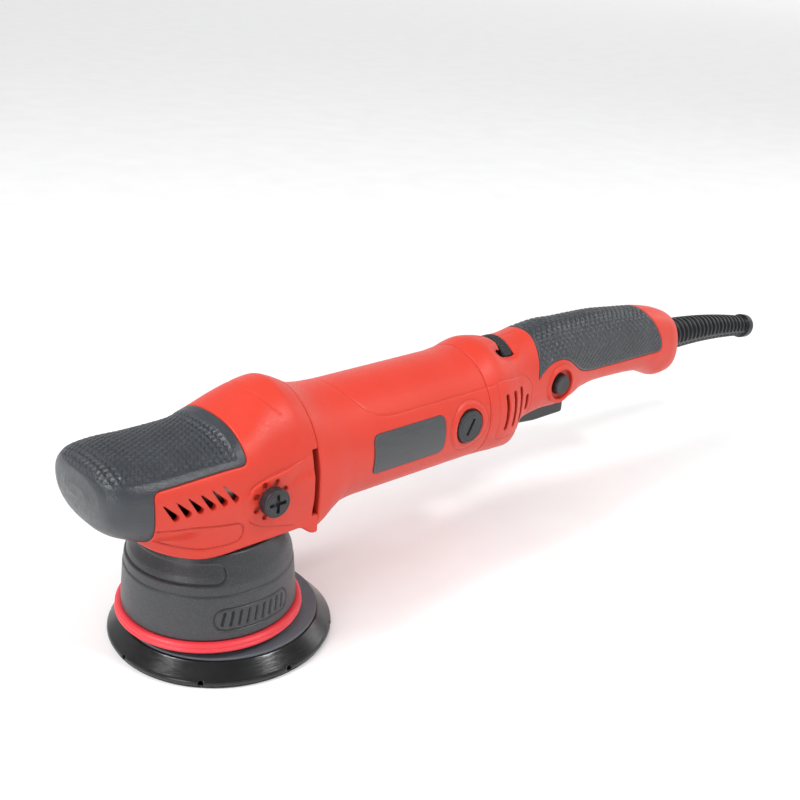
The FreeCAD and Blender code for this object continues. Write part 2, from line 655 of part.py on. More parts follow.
def build_shroud():
    """Soft skirt round the counterweight, stepped like a cake tin with a domed shoulder."""
    wall = "shroud_wall"
    outer = [("shroud_radius - 1.5", "shroud_bottom"), ("shroud_radius - 1.5", 21.8),
             ("shroud_radius", 22.6), ("shroud_radius - 1.8", 47.2), ("shroud_radius - 2.6", 47.6),
             ("shroud_radius - 2.6", 48.4), ("shroud_radius - 2.2", 48.8), (45.3, 52.5),
             (43.4, 57.5), (40.5, 62), (38.4, "lower_seat - 0.1")]
    inner = [("shroud_radius - 1.5 - " + wall, "shroud_bottom"),
             ("shroud_radius - 2.4 - " + wall, 40), ("shroud_radius - 3.2 - " + wall, 49),
             ("43.4 - " + wall, 56), ("40.5 - " + wall, 60.5), ("40.5 - " + wall, "shroud_clamp"),
             (30, "shroud_clamp"), (30, "lower_seat - 0.1")]
    finished(turned("shroud", outer + inner[::-1]))

    finished(turned("shroud_ring", [
        ("shroud_radius - 1.5", 16.8), (49.2, 16.4), (50.9, 17.2), ("ring_radius", 18.7),
        (50.6, 19.7), ("ring_radius - 0.3", 20.6), (50.2, 22), (48.6, 22.4),
        ("shroud_radius - 1.5", 21.8)]))


# ---------------------------------------------------------------- head casing and palm grip

def nose_form(inset):
    """The lofted nose and hump of the head, moved inward by inset."""
    return hull(HEAD, -76 + inset, size("seam_front"), inset)


def collar_form(inset):
    """The D-shaped collar under the nose: round in front, flat sided, deeper at the seam."""
    seat = size("lower_seat") + inset
    radius = size("collar_radius") - inset
    half = size("collar_width") - inset
    seam, top, drop = size("seam_front"), 98.0 - inset, 4.5
    front = solid_cylinder(radius, top - seat, (0, 0, seat), Z_AXIS)
    front = front.common(solid_box((-60, -half, seat), (0, half, top)))
    side = [FreeCAD.Vector(x, -half, z) for x, z in (
        (0, seat), (seam - 5.5, seat), (seam, seat - drop), (seam, top), (0, top), (0, seat))]
    back = Part.Face(Part.makePolygon(side)).extrude(FreeCAD.Vector(0, 2 * half, 0))
    return front.fuse(back).removeSplitter()


def palm_grip_zone():
    """Where the soft palm grip covers the nose: everything ahead of and above its edges."""
    side_edge, rear_edge, front_edge = 114.0, 1.5, -53.0
    above = solid_box((-90, -60, side_edge), (rear_edge, 60, 160))
    ahead = solid_box((-90, -60, 60), (front_edge, 60, side_edge + OVERSHOOT))
    return above.fuse(ahead)


def teardrop(tip, end, radius):
    """A teardrop prism through both sides: a point at tip that swells to a bulb at end."""
    tip, end = FreeCAD.Vector(tip[0], -60, tip[1]), FreeCAD.Vector(end[0], -60, end[1])
    along = (end - tip).normalize()
    side = along.cross(Y_AXIS) * radius
    wedge = Part.makePolygon([tip, end + side, end + along * radius, end - side, tip])
    blade = Part.Face(wedge).extrude(FreeCAD.Vector(0, 120, 0))
    bulb = Part.makeCylinder(radius, 120, end, Y_AXIS)
    return blade.fuse(bulb)


def build_head_casing():
    wall = size("casing_wall")
    seat = size("lower_seat")
    seam = size("seam_front")
    nose, nose_room = nose_form(0.0), nose_form(wall)
    collar, collar_room = collar_form(0.0), collar_form(wall)
    rubber = nose.common(palm_grip_zone()).cut(nose_form(size("rubber_depth")))
    grip = max(rubber.Solids, key=lambda solid: solid.Volume)
    upper = nose.cut(nose_room).cut(collar_room)
    lower = collar.cut(collar_room).cut(nose_room)

    inside = [solid_cylinder(34.6, 30, (0, 0, seat - OVERSHOOT), Z_AXIS)]
    half = size("collar_width") - wall
    inside.append(solid_box((seam - 5, -half, seat + wall), (seam + OVERSHOOT, half, 112)))
    vents = []
    first_vent, pitch = -49.3, 6.8
    for index in range(6):
        tip = first_vent + pitch * index
        lift = 106.6 + 0.2 * index
        vents.append(teardrop((tip, lift), (tip + 6.6, lift - 8.4), 1.7))
    exhaust = solid_box((40.9, -60, 74), (seam + OVERSHOOT, 60, 112.5))
    sockets = []
    for side in (-1, 1):
        out = FreeCAD.Vector(0, side, 0)
        at = (size("socket_place"), side * 30, size("socket_height"))
        sockets.append(solid_cylinder(size("socket_radius") + 5.2, 5.4, at, out))
        sockets.append(solid_cylinder(size("socket_radius") + 0.3, 20, at, out))
    bosses = []
    for side in (-1, 1):
        at = (size("socket_place"), side * 36, size("socket_height"))
        bosses.append(solid_cylinder(15.0, 3.5, at, FreeCAD.Vector(0, side, 0)))
    shell = upper.fuse([lower] + bosses).cut(inside).cut(grip).cut(vents + [exhaust] + sockets)
    shell = max(shell.Solids, key=lambda solid: solid.Volume)
    finished(free_shape("head_casing", shell))
    finished(free_shape("palm_grip", grip))


def side_plug(side):
    """Cross-slotted plug that closes a side handle socket."""
    head_out, head_in = 46.0, 39.6
    at_x, at_z = size("socket_place"), size("socket_height")
    out = FreeCAD.Vector(0, side, 0)
    head = solid_cylinder(size("plug_radius"), head_out - head_in, (at_x, side * head_in, at_z), out)
    rim = [edge for edge in head.Edges if abs(edge.CenterOfMass.y - side * head_out) < 0.01]
    head = head.makeChamfer(0.8, rim)
    shank = solid_cylinder(size("socket_radius") - 0.05, 8, (at_x, side * 31.6, at_z), out)
    slot_half, slot_reach, slot_depth = 1.0, 5.2, 2.0
    face = side * head_out
    low_y, high_y = sorted((face - side * slot_depth, face + side))
    slot_a = solid_box((at_x - slot_reach, low_y, at_z - slot_half),
                       (at_x + slot_reach, high_y, at_z + slot_half))
    slot_b = solid_box((at_x - slot_half, low_y, at_z - slot_reach),
                       (at_x + slot_half, high_y, at_z + slot_reach))
    return head.fuse(shank).cut([slot_a, slot_b])


# ---------------------------------------------------------------- motor

def ring_x(inner, outer, start, end):
    """A ring about the motor axis, as a shape."""
    centre = (start, 0, size("motor_axis"))
    ring = solid_cylinder(outer, end - start, centre, X_AXIS)
    return ring.cut(solid_cylinder(inner, end - start, centre, X_AXIS)) if inner else ring


def badge_shape(side):
    """A blank plate curved round the tube, with rounded corners."""
    start, end, half_height, depth = 86.0, 141.0, 12.2, 0.9
    outer = size("badge_radius")
    skin = ring_x(outer - depth, outer, start, end)
    low_y, high_y = sorted((side * 20, side * 40))
    middle = size("motor_axis")
    panel = solid_box((start, low_y, middle - half_height), (end, high_y, middle + half_height))
    upright = [edge for edge in panel.Edges
               if abs(edge.tangentAt(edge.FirstParameter).y) > 0.99]
    panel = panel.makeFillet(4.0, upright)
    return skin.common(panel)


def brush_channel(side, margin, extra=0.0):
    """A square bar round the brush: margin wider on every side, extra longer at each end."""
    half_length = size("brush_length") / 2 + margin
    half_height = size("brush_height") / 2 + margin
    low_y, high_y = sorted((side * 15.2, side * 31.0))
    x, z = size("brush_place"), size("motor_axis")
    return solid_box((x - half_length, low_y - extra, z - half_height),
                     (x + half_length, high_y + extra, z + half_height))


def brush_holder_shape(side):
    """Square brass sleeve that the brush slides in."""
    sleeve_wall, slide_gap = 1.2, 0.05
    return brush_channel(side, sleeve_wall).cut(brush_channel(side, slide_gap, OVERSHOOT))


def build_motor_housing():
    """One-piece tube with a bulkhead at each end, brush sockets and a lip for the handle."""
    front, rear = size("seam_front"), size("seam_rear")
    axis_height = size("motor_axis")
    bore = size("tube_bore")
    outside = hull(MOTOR, front, rear, spacing=14.0)
    lip = ring_x(25.5, 28.5, rear, rear + 5).fuse(ring_x(25.5, 31.0, rear + 3, rear + 5))
    room = solid_cylinder(bore, 120, (front + 5, 0, axis_height), X_AXIS)
    bosses = []
    for side in (-1, 1):
        start = (size("brush_place"), side * 22, axis_height)
        bosses.append(solid_cylinder(12.0, 11.5, start, FreeCAD.Vector(0, side, 0)))
    shell = outside.cut(room).fuse([lip] + bosses)

    cuts = [solid_cylinder(17.0, 7, (front - 1, 0, axis_height), X_AXIS)]
    cuts.append(solid_cylinder(12.6, 30, (rear - 7.6, 0, axis_height), X_AXIS))
    cuts.append(solid_cylinder(8.0, 12, (rear - 14, 0, axis_height), X_AXIS))
    cuts += motor_screw_holes(front - OVERSHOOT, 9)
    air = ring_x(15.5, 24.5, rear - 15, rear + OVERSHOOT)
    spokes = [solid_box((rear - 16, -3, 60), (rear + 2, 3, 132)),
              solid_box((rear - 16, -40, axis_height - 3), (rear + 2, 40, axis_height + 3))]
    cuts.append(air.cut(spokes))
    for side in (-1, 1):
        out = FreeCAD.Vector(0, side, 0)
        at = size("brush_place")
        cuts.append(solid_cylinder(size("cap_radius") + 0.2, 9, (at, side * 33.0, axis_height), out))
        cuts.append(solid_cylinder(7.6, 4, (at, side * 31.0, axis_height), out))
        cuts.append(brush_channel(side, 1.2))
        cuts.append(badge_shape(side))
    shell = shell.cut(cuts)
    shell = max(shell.Solids, key=lambda solid: solid.Volume)
    finished(free_shape("motor_housing", shell))
    finished(free_shape("badges", Part.makeCompound([badge_shape(side) for side in (-1, 1)])))


def build_stator():
    """Laminated core with two poles, and a coil wound round each pole."""
    front, length = size("core_front"), size("core_length")
    axis_height = size("motor_axis")
    inner = size("armature_radius") + size("air_gap")
    slot_in, slot_out = 23.6, 29.6
    coil_gap = 6.0

    def sector(radius_in, radius_out, start, end, first, last):
        face = ring_x(radius_in, radius_out, start, end)
        middle = FreeCAD.Vector(0, 0, axis_height)
        wedge = Part.makePolygon([middle] + [
            middle + FreeCAD.Vector(0, 60 * math.cos(math.radians(angle)),
                                    60 * math.sin(math.radians(angle)))
            for angle in (first, (first + last) / 2, last)] + [middle])
        prism = Part.Face(wedge).extrude(FreeCAD.Vector(end - start, 0, 0))
        prism.translate(FreeCAD.Vector(start, 0, 0))
        return face.common(prism)

    core = ring_x(inner, size("tube_bore"), front, front + length)
    coils = []
    for first in (25, 205):
        outer_loop = sector(slot_in, slot_out, front - coil_gap - 5,
                            front + length + coil_gap + 5, first, first + 130)
        window = sector(slot_in - 1, slot_out + 1, front - coil_gap, front + length + coil_gap,
                        first + 22, first + 108)
        coils.append(outer_loop.cut(window))
    finished(free_shape("stator_core", core.cut(coils)))
    finished(free_shape("field_coils", Part.makeCompound(coils)))
    finished(turned_ring("fan_baffle", 24, "tube_bore", 0, 2.5, x=64, z="motor_axis", along="+X"))


def build_armature():
    tip = "upper_bore - running_gap"
    seat = "front_bore - running_gap"
    nose = 12
    shoulder = "front_seat + front_width + 3 - %d" % nose
    rear_shoulder = "seam_rear - 9 - %d" % nose
    tail = "seam_rear - 0.6 - %d" % nose
    finished(turned("armature_shaft", [
        (0, 0), ("pinion_bore", 0), ("pinion_bore", 18.8), (seat, 18.8), (seat, shoulder),
        (6, shoulder), (6, rear_shoulder), (tip, rear_shoulder), (tip, tail), (0, tail)],
        x=nose, z="motor_axis", along="+X"))

    nut = Part.Face(Part.makePolygon([
        FreeCAD.Vector(13.4, 6.6 * math.cos(math.radians(60 * i)),
                       size("motor_axis") + 6.6 * math.sin(math.radians(60 * i)))
        for i in range(7)])).extrude(FreeCAD.Vector(5, 0, 0))
    nut = nut.cut(solid_cylinder(4.0, 20, (10, 0, size("motor_axis")), X_AXIS))
    finished(free_shape("pinion_nut", nut))

    front, length = size("core_front"), size("core_length")
    centre = FreeCAD.Vector(0, 0, size("motor_axis"))
    slots, slot_circle, slot_radius = 12, 16.2, 2.6
    hole = solid_cylinder(slot_radius, length, (front, 0, centre.z + slot_circle), X_AXIS)
    mouth = solid_box((front, -0.8, centre.z + slot_circle), (front + length, 0.8, centre.z + 22))
    core = ring_x(6.0, size("armature_radius"), front, front + length)
    wire_slots = round_about(hole.fuse(mouth), slots, X_AXIS, centre)
    finished(free_shape("armature_core", core.cut(wire_slots)))

    turns = [ring_x(6.0, 19.4, front - 9, front),
             ring_x(6.0, 19.4, front + length, front + length + 12)]
    bundle = solid_cylinder(slot_radius, length, (front, 0, centre.z + slot_circle), X_AXIS)
    windings = joined(turns + round_about(bundle, slots, X_AXIS, centre))
    finished(free_shape("armature_windings", windings))

    bars = 24
    start, end = 150.0, 169.0
    body = ring_x(6.0, size("commutator_radius"), start, end)
    slit = solid_box((start, -0.25, centre.z + size("commutator_radius") - 1.2),
                     (end, 0.25, centre.z + size("commutator_radius") + 1))
    finished(free_shape("commutator", body.cut(round_about(slit, bars, X_AXIS, centre))))

    blades, blade_front = 14, 52.8
    hub = ring_x(6.0, 11.0, 51.0, 61.0)
    disc = ring_x(6.0, 30.0, 51.0, blade_front)
    blade = solid_box((blade_front, -0.8, centre.z + 13), (60.5, 0.8, centre.z + 29.6))
    blade.rotate(FreeCAD.Vector(0, 0, centre.z + 13), X_AXIS, 18)
    finished(free_shape("fan", joined([hub, disc] + round_about(blade, blades, X_AXIS, centre))))


def build_rear_bearing():
    finished(ball_bearing("motor_bearing_rear", "upper_bore", "upper_outer",
                          "small_bearing_width", x="seam_rear - small_bearing_width - 0.2",
                          z="motor_axis", along="+X"))
    finished(turned_ring("bearing_sleeve", "upper_outer", 12.6, 0, "small_bearing_width",
                         x="seam_rear - small_bearing_width - 0.2", z="motor_axis", along="+X"))


def coil_spring(radius, wire, length, turns):
    """A coil spring about +Z from the origin."""
    helix = Part.makeHelix((length - 2 * wire) / turns, length - 2 * wire, radius)
    start = FreeCAD.Vector(radius, 0, 0)
    circle = Part.Wire([Part.Circle(start, Y_AXIS, wire).toShape()])
    coil = Part.Wire(helix.Edges).makePipeShell([circle], True, True)
    coil.translate(FreeCAD.Vector(0, 0, wire))
    return coil


def carbon_brush(side, tail):
    """Carbon block whose end is worn to the commutator's curve."""
    x, z = size("brush_place"), size("motor_axis")
    length, height = size("brush_length"), size("brush_height")
    low_y, high_y = sorted((side * (size("commutator_radius") - 2.0), side * tail))
    block = solid_box((x - length / 2, low_y, z - height / 2), (x + length / 2, high_y, z + height / 2))
    curve = solid_cylinder(size("commutator_radius") + 0.05, 20, (x - 10, 0, z), X_AXIS)
    return block.cut(curve)


def brush_spring(side, tail):
    x, z = size("brush_place"), size("motor_axis")
    spring = coil_spring(2.3, 0.35, 31.0 - tail - 0.1, 6)
    spring.rotate(FreeCAD.Vector(), X_AXIS, -side * QUARTER)
    spring.translate(FreeCAD.Vector(x, side * (tail + 0.05), z))
    return spring


def brush_cap(side):
    """Slotted screw cap over the brush."""
    x, z = size("brush_place"), size("motor_axis")
    out = FreeCAD.Vector(0, side, 0)
    head = solid_cylinder(size("cap_radius"), 3.4, (x, side * 33.0, z), out)
    rim = [edge for edge in head.Edges if abs(edge.CenterOfMass.y - side * 36.4) < 0.01]
    head = head.makeChamfer(0.7, rim)
    neck = solid_cylinder(7.5, 2.0, (x, side * 31.0, z), out)
    low_y, high_y = sorted((side * 35.2, side * 38))
    slot = solid_box((x - 5.5, low_y, z - 0.9), (x + 5.5, high_y, z + 0.9))
    slot.rotate(FreeCAD.Vector(x, 0, z), Y_AXIS, -62)
    return head.fuse(neck).cut(slot)


def build_pairs():
    """The pieces that come in a left and a right copy."""
    brush_tail = 23.5
    sides = (-1, 1)
    pairs = {
        "side_plugs": [side_plug(side) for side in sides],
        "brush_holders": [brush_holder_shape(side) for side in sides],
        "carbon_brushes": [carbon_brush(side, brush_tail) for side in sides],
        "brush_springs": [brush_spring(side, brush_tail) for side in sides],
        "brush_caps": [brush_cap(side) for side in sides],
    }
    for label, pieces in pairs.items():
        finished(free_shape(label, Part.makeCompound(pieces)))


# ---------------------------------------------------------------- handle

HANDLE_SCREWS = ((196, 72), (229, 121), (288, 91), (340, 90), (386, 78.5))
HANDLE_VENTS = ((195, 84.5, 108.5), (203.6, 84.5, 108.5), (212.2, 84.5, 108.5), (220.4, 90, 101))
TAIL = 400.0
GUARD_START, GUARD_SPAN = 386.0, 130.0


def guard_point(s):
    """Centre of the cord guard, s from 0 at its root to 1 at its end."""
    x = GUARD_START + GUARD_SPAN * s
    droop = max(0.0, (x - 402.0) / 114.0)
    return FreeCAD.Vector(x, 0, 98.5 - 3.0 * droop - 10.0 * droop * droop)


def guard_radius(s):
    grow = max(0.0, (GUARD_START + GUARD_SPAN * s - 402.0) / 114.0)
    return size("guard_root") + (size("guard_end") - size("guard_root")) * grow


def cord_loft(radius_at, first, last, count=8):
    """A round bar that follows the cord's line."""
    wires = []
    for index in range(count + 1):
        s = first + (last - first) * index / count
        ahead = guard_point(s + 0.01) - guard_point(s - 0.01)
        circle = Part.Circle(guard_point(s), ahead, radius_at(s))
        wires.append(Part.Wire([circle.toShape()]))
    return Part.makeLoft(wires, True, False)


def rear_grip_zone():
    """Side outline of the soft rear grip, swept across the handle."""
    outline = [(240, 160), (238, 134), (235.6, 124), (233.5, 113), (232, 106)]
    outline += [(236, 109.5), (242, 113), (250, 115.3), (258, 115.6), (266, 112.5), (274, 106.5),
                (281, 102), (288, 100), (298, 98.4), (330, 97.6), (371, 97.2), (374.5, 99.5),
                (373, 106), (367, 118), (359, 130), (352, 160)]
    points = [FreeCAD.Vector(x, -60, z) for x, z in outline]
    return Part.Face(Part.makePolygon(points + [points[0]])).extrude(FreeCAD.Vector(0, 120, 0))


def trigger_slot():
    front, length = size("trigger_front"), size("trigger_length")
    half = size("trigger_half_width") + 0.5
    return solid_box((front - 0.6, -half, 60), (front + length + 1.0, half, 90))


def build_handle():
    wall = size("casing_wall") - 0.6
    start = size("seam_rear")
    axis_height = size("motor_axis")
    outside = hull(HANDLE, start, TAIL, spacing=10.0)
    inner = hull(HANDLE, start, TAIL - wall, wall, spacing=10.0)
    rubber = outside.common(rear_grip_zone()).cut(hull(HANDLE, start, TAIL, size("rubber_depth"),
                                                       spacing=10.0))

    collar = ring_x(28.6, 33.6, start, start + 2.8)
    ribs = []
    for x, z in HANDLE_SCREWS:
        ribs.append(solid_cylinder(4.4, 80, (x, -40, z), Y_AXIS))
    ribs.append(solid_cylinder(4.0, 80, (size("pin_place"), -40, size("pin_height")), Y_AXIS))
    ribs.append(solid_box((366, -30, 60), (371, 30, 130)))
    dial_wall = solid_box((217.5, -30, 84), (219.0, 30, 130))
    ribs.append(dial_wall)
    cavity = inner.cut(outside.common(joined(ribs)))
    shell = outside.cut(cavity).fuse(collar)

    cuts = [trigger_slot()]
    gap_half = size("trigger_half_width") + 0.5
    cuts.append(solid_box((size("trigger_front") - 0.6, -gap_half, 80),
                          (size("pin_place") + 8, gap_half, 90.5)))
    for x, low, high in HANDLE_VENTS:
        for side in (-1, 1):
            low_y, high_y = sorted((side * 15, side * 50))
            cuts.append(solid_box((x - 1.35, low_y, low), (x + 1.35, high_y, high)))
    dial_gap = 0.5
    cuts.append(solid_cylinder(size("dial_radius") + dial_gap, size("dial_width") + 2 * dial_gap,
                               (size("dial_place") - dial_gap, 0, size("dial_height")), X_AXIS))
    cuts.append(solid_cylinder(size("lock_radius") + 0.15, 30,
                               (size("lock_place"), -12, size("lock_height")), -Y_AXIS))
    cuts.append(solid_cylinder(10.2, 6, (size("lock_place"), -23.0, size("lock_height")), -Y_AXIS))
    cuts.append(cord_loft(lambda s: size("guard_root") + 0.2, -0.02, 0.2, 3))
    flange_at = FreeCAD.Vector(GUARD_START - 4, 0, guard_point(0).z)
    cuts.append(Part.makeCylinder(14.05, 4.0, flange_at, X_AXIS))
    cuts.append(Part.makeCylinder(size("cord_radius") + 0.05, 30, flange_at - X_AXIS * 20, X_AXIS))
    pin = solid_cylinder(size("pin_radius"), 36, (size("pin_place"), -18, size("pin_height")), Y_AXIS)
    cuts.append(pin)
    for x, z in HANDLE_SCREWS:
        cuts.append(solid_cylinder(size("screw_radius"), 18, (x, -9, z), Y_AXIS))
        cuts.append(solid_cylinder(3.9, 40, (x, 9, z), Y_AXIS))
    shell = shell.cut(cuts).cut(rubber)

    for hand, side in (("left", -1), ("right", 1)):
        low_y, high_y = sorted((0, side * 60))
        half_space = solid_box((150, low_y, 40), (420, high_y, 170))
        casing = shell.common(half_space)
        finished(free_shape("handle_" + hand, max(casing.Solids, key=lambda solid: solid.Volume)))
        grip = rubber.common(half_space)
        finished(free_shape("grip_" + hand, max(grip.Solids, key=lambda solid: solid.Volume)))
    screws = [screw_shape((x, 9, z), -Y_AXIS, 17) for x, z in HANDLE_SCREWS]
    finished(free_shape("handle_screws", Part.makeCompound(screws)))
    finished(free_shape("trigger_pin", pin))


def build_trigger():
    """A long paddle that swings on a pin at its front end and pushes the switch."""
    front, length = size("trigger_front"), size("trigger_length")
    half, bottom = size("trigger_half_width"), size("trigger_bottom")
    rear = front + length
    outline = [(front, bottom + 8.0), (front + 6, bottom + 2.6), (front + 30, bottom),
               (rear - 4, bottom), (rear, bottom + 3.0), (rear, bottom + 12.6),
               (front + 12, bottom + 12.6), (front + 10, bottom + 20), (front + 2, bottom + 20),
               (front, bottom + 18)]
    points = [FreeCAD.Vector(x, -half, z) for x, z in outline]
    paddle = Part.Face(Part.makePolygon(points + [points[0]])).extrude(FreeCAD.Vector(0, 2 * half, 0))
    lengthwise = [edge for edge in paddle.Edges
                  if abs(abs(edge.CenterOfMass.y) - half) < 0.01 and edge.CenterOfMass.z < bottom + 4]
    paddle = paddle.makeFillet(1.2, lengthwise)
    pin_room = solid_cylinder(size("pin_radius") + 0.05, 60,
                              (size("pin_place"), -30, size("pin_height")), Y_AXIS)
    finished(free_shape("trigger", paddle.cut(pin_room)))

    spring = coil_spring(2.8, 0.4, 92.0 - bottom - 12.6 - 0.1, 4)
    spring.translate(FreeCAD.Vector(262, 0, bottom + 12.65))
    finished(free_shape("trigger_spring", spring))


def build_controls():
    body = box("switch_box", (42, 22, 20), x=236, y=-11, z=92)
    bore = cylinder("switch_bore", "4.1", 8, x="lock_place", y=-4, z="lock_height", along="-Y")
    finished(cut("switch_body", body, bore))

    x, z = size("lock_place"), size("lock_height")
    cap = solid_cylinder(size("lock_radius"), 8.0, (x, -27.2, z), Y_AXIS)
    rim = [edge for edge in cap.Edges if abs(edge.CenterOfMass.y + 27.2) < 0.01]
    cap = cap.makeFillet(1.1, rim)
    flange = solid_cylinder(8.6, 1.2, (x, -19.2, z), Y_AXIS)
    stem = solid_cylinder(4.0, 9.0, (x, -18.4, z), Y_AXIS)
    finished(free_shape("lock_button", joined([cap, flange, stem])))

    module = box("speed_box", (18, 26, 22), x=186.5, y=-13, z=105.5)
    shaft = cylinder("speed_shaft", 3, 13, x=203.5, z="dial_height", along="+X")
    finished(fuse("speed_module", module, shaft))
    wheel = ring_x(0, size("dial_radius"), 0, size("dial_width"))
    wheel.translate(FreeCAD.Vector(size("dial_place"), 0, size("dial_height") - size("motor_axis")))
    centre = FreeCAD.Vector(0, 0, size("dial_height"))
    groove = solid_cylinder(0.8, size("dial_width"),
                            (size("dial_place"), 0, centre.z + size("dial_radius") + 0.3), X_AXIS)
    grooves = round_about(groove, 40, X_AXIS, centre)
    bore = solid_cylinder(3.05, 40, (190, 0, centre.z), X_AXIS)
    finished(free_shape("speed_dial", wheel.cut(grooves + [bore])))

    finished(cylinder("capacitor", 7.5, 28, x=298, z=113, along="+X"))


def build_cord():
    radius = size("cord_radius")
    bore = cord_loft(lambda s: radius + 0.05, -0.05, 1.05)
    sleeve = cord_loft(guard_radius, -0.01, 1.0)
    flange = Part.makeCylinder(14.0, 3.8, guard_point(0) - X_AXIS * 3.9, X_AXIS)
    finished(free_shape("cord_guard", sleeve.fuse(flange).cut(bore)))

    cord = cord_loft(lambda s: radius, -0.14, 1.015, 10)
    finished(free_shape("power_cord", cord))

    level = guard_point(0).z
    bar = solid_box((374, -12, level + radius + 0.05), (380, 12, level + radius + 3.5))
    holes = [solid_cylinder(1.5, 20, (377, side * 9, level), Z_AXIS) for side in (-1, 1)]
    finished(free_shape("cord_clamp", bar.cut(holes)))
    screws = [solid_cylinder(1.5, 9, (377, side * 9, level - 1), Z_AXIS)
              .fuse(solid_cylinder(2.8, 2, (377, side * 9, level + radius + 3.5), Z_AXIS))
              for side in (-1, 1)]
    finished(free_shape("clamp_screws", Part.makeCompound(screws)))
    leads = [solid_cylinder(1.2, 88, (278.2, side * 2.0, 99.0), X_AXIS) for side in (-1, 1)]
    finished(free_shape("mains_leads", Part.makeCompound(leads)))


# ---------------------------------------------------------------- the machine

build_backing_plate()
build_pad_spindle()
build_counterweight()
build_spindle()
build_gears()
build_gear_housing()
build_head_fittings()
build_shroud()
build_head_casing()
build_motor_housing()
build_stator()
build_armature()
build_rear_bearing()
build_pairs()
build_handle()
build_trigger()
build_controls()
build_cord()

doc.recompute()

# ---------------------------------------------------------------- checks and files

for item in doc.Objects:
    if "Invalid" in item.State or "Error" in item.State:
        raise RuntimeError("%s did not rebuild: %s" % (item.Label, item.State))
for part in parts:
    if part.Shape.isNull() or not part.Shape.isValid() or not part.Shape.Solids:
        raise RuntimeError("%s is not a valid solid" % part.Label)

os.makedirs("parts", exist_ok=True)
for part in parts:
    part.Shape.exportStep("parts/%s.step" % part.Label)
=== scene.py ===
import functools
import json
import math

import bpy
import numpy as np
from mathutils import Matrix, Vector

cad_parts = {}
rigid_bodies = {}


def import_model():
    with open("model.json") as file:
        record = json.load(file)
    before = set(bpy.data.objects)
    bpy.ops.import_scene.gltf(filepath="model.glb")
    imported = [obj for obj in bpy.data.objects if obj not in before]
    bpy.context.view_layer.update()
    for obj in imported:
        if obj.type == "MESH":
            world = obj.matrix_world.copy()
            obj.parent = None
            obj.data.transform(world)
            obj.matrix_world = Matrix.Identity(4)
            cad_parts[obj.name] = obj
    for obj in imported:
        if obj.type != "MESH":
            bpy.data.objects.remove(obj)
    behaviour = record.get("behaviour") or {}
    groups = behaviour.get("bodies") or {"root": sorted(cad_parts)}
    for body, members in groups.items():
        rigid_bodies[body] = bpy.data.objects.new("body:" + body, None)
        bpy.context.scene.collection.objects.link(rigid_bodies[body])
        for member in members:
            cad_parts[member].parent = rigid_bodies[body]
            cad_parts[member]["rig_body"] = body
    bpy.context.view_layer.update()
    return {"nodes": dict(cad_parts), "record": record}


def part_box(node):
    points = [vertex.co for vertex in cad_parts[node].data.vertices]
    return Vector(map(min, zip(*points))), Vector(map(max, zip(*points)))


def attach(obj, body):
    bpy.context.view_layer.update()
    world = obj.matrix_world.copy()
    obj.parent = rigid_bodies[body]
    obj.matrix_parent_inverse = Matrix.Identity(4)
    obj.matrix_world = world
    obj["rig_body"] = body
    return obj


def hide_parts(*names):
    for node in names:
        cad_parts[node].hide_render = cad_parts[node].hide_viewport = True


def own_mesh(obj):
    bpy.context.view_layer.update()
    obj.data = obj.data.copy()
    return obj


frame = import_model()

import openvdb
from mathutils import Matrix, Vector

# Lengths in this script are millimetres in the frame's axes: X runs back along the motor, Z is
# up along the main spindle and -Y is the side with the lock button. MM turns them into metres.
MM = 0.001
NODES = frame["nodes"]
SLOT_OF = {part["node"]: part["material_slot"] for part in frame["record"]["subparts"]}


def corners_of(node):
    """Lowest and highest corner of a CAD node in millimetres."""
    low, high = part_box(node)
    return np.array(low) / MM, np.array(high) / MM


def disc_of(node):
    """X and Z of the middle, radius and outer face of a round node that faces sideways."""
    low, high = corners_of(node)
    middle = (low + high) / 2
    return middle[0], middle[2], (high[0] - low[0]) / 2, high[1]


# ---- places taken from the frame

SEAM_FRONT = corners_of("motor_housing")[0][0]
SEAM_REAR = corners_of("handle_left")[0][0]
TAIL = corners_of("handle_left")[1][0]
NOSE = corners_of("palm_grip")[0][0]
COLLAR_FLOOR = corners_of("shroud")[1][2] + 2.9

PLUG_X, PLUG_Z, PLUG_RADIUS, PLUG_FACE = disc_of("side_plugs")
PLUG_SEAT = 39.5      # the raised field round each plug
CAP_X, MOTOR_AXIS, CAP_RADIUS, CAP_FACE = disc_of("brush_caps")
TUBE_RADIUS = 35.3    # the round part of the motor housing
PANEL_ARC = 34.9      # from the tube's top round to the lower edge of its raised panel

BADGE_LOW, BADGE_HIGH = corners_of("badges")
BADGE_RADIUS = BADGE_HIGH[1]

LOCK_LOW, LOCK_HIGH = corners_of("lock_button")
LOCK_X, LOCK_Z = disc_of("lock_button")[:2]
LOCK_FACE = LOCK_LOW[1]
LOCK_RADIUS = 6.7
LOCK_LIP = 26.0       # outer face of the ring round the button

DIAL_LOW, DIAL_HIGH = corners_of("speed_dial")
DIAL_Z = (DIAL_LOW[2] + DIAL_HIGH[2]) / 2
DIAL_RADIUS = (DIAL_HIGH[2] - DIAL_LOW[2]) / 2

TRIGGER_LOW, TRIGGER_HIGH = corners_of("trigger")

PLATE_LOW, PLATE_HIGH = corners_of("backing_plate")
PLATE_X = (PLATE_LOW[0] + PLATE_HIGH[0]) / 2
PLATE_RADIUS = (PLATE_HIGH[1] - PLATE_LOW[1]) / 2
DISC_LOW, DISC_HIGH = corners_of("stiffening_disc")
DISC_RADIUS = (DISC_HIGH[1] - DISC_LOW[1]) / 2
RING_LOW, RING_HIGH = corners_of("shroud_ring")
SHROUD_LOW, SHROUD_HIGH = corners_of("shroud")

SEAM_GAP = 0.08       # half of the line between two casings
CASING_WALL = 3.4
HANDLE_WALL = 2.8
RUBBER_DEPTH = 1.8
COARSER = 1.0


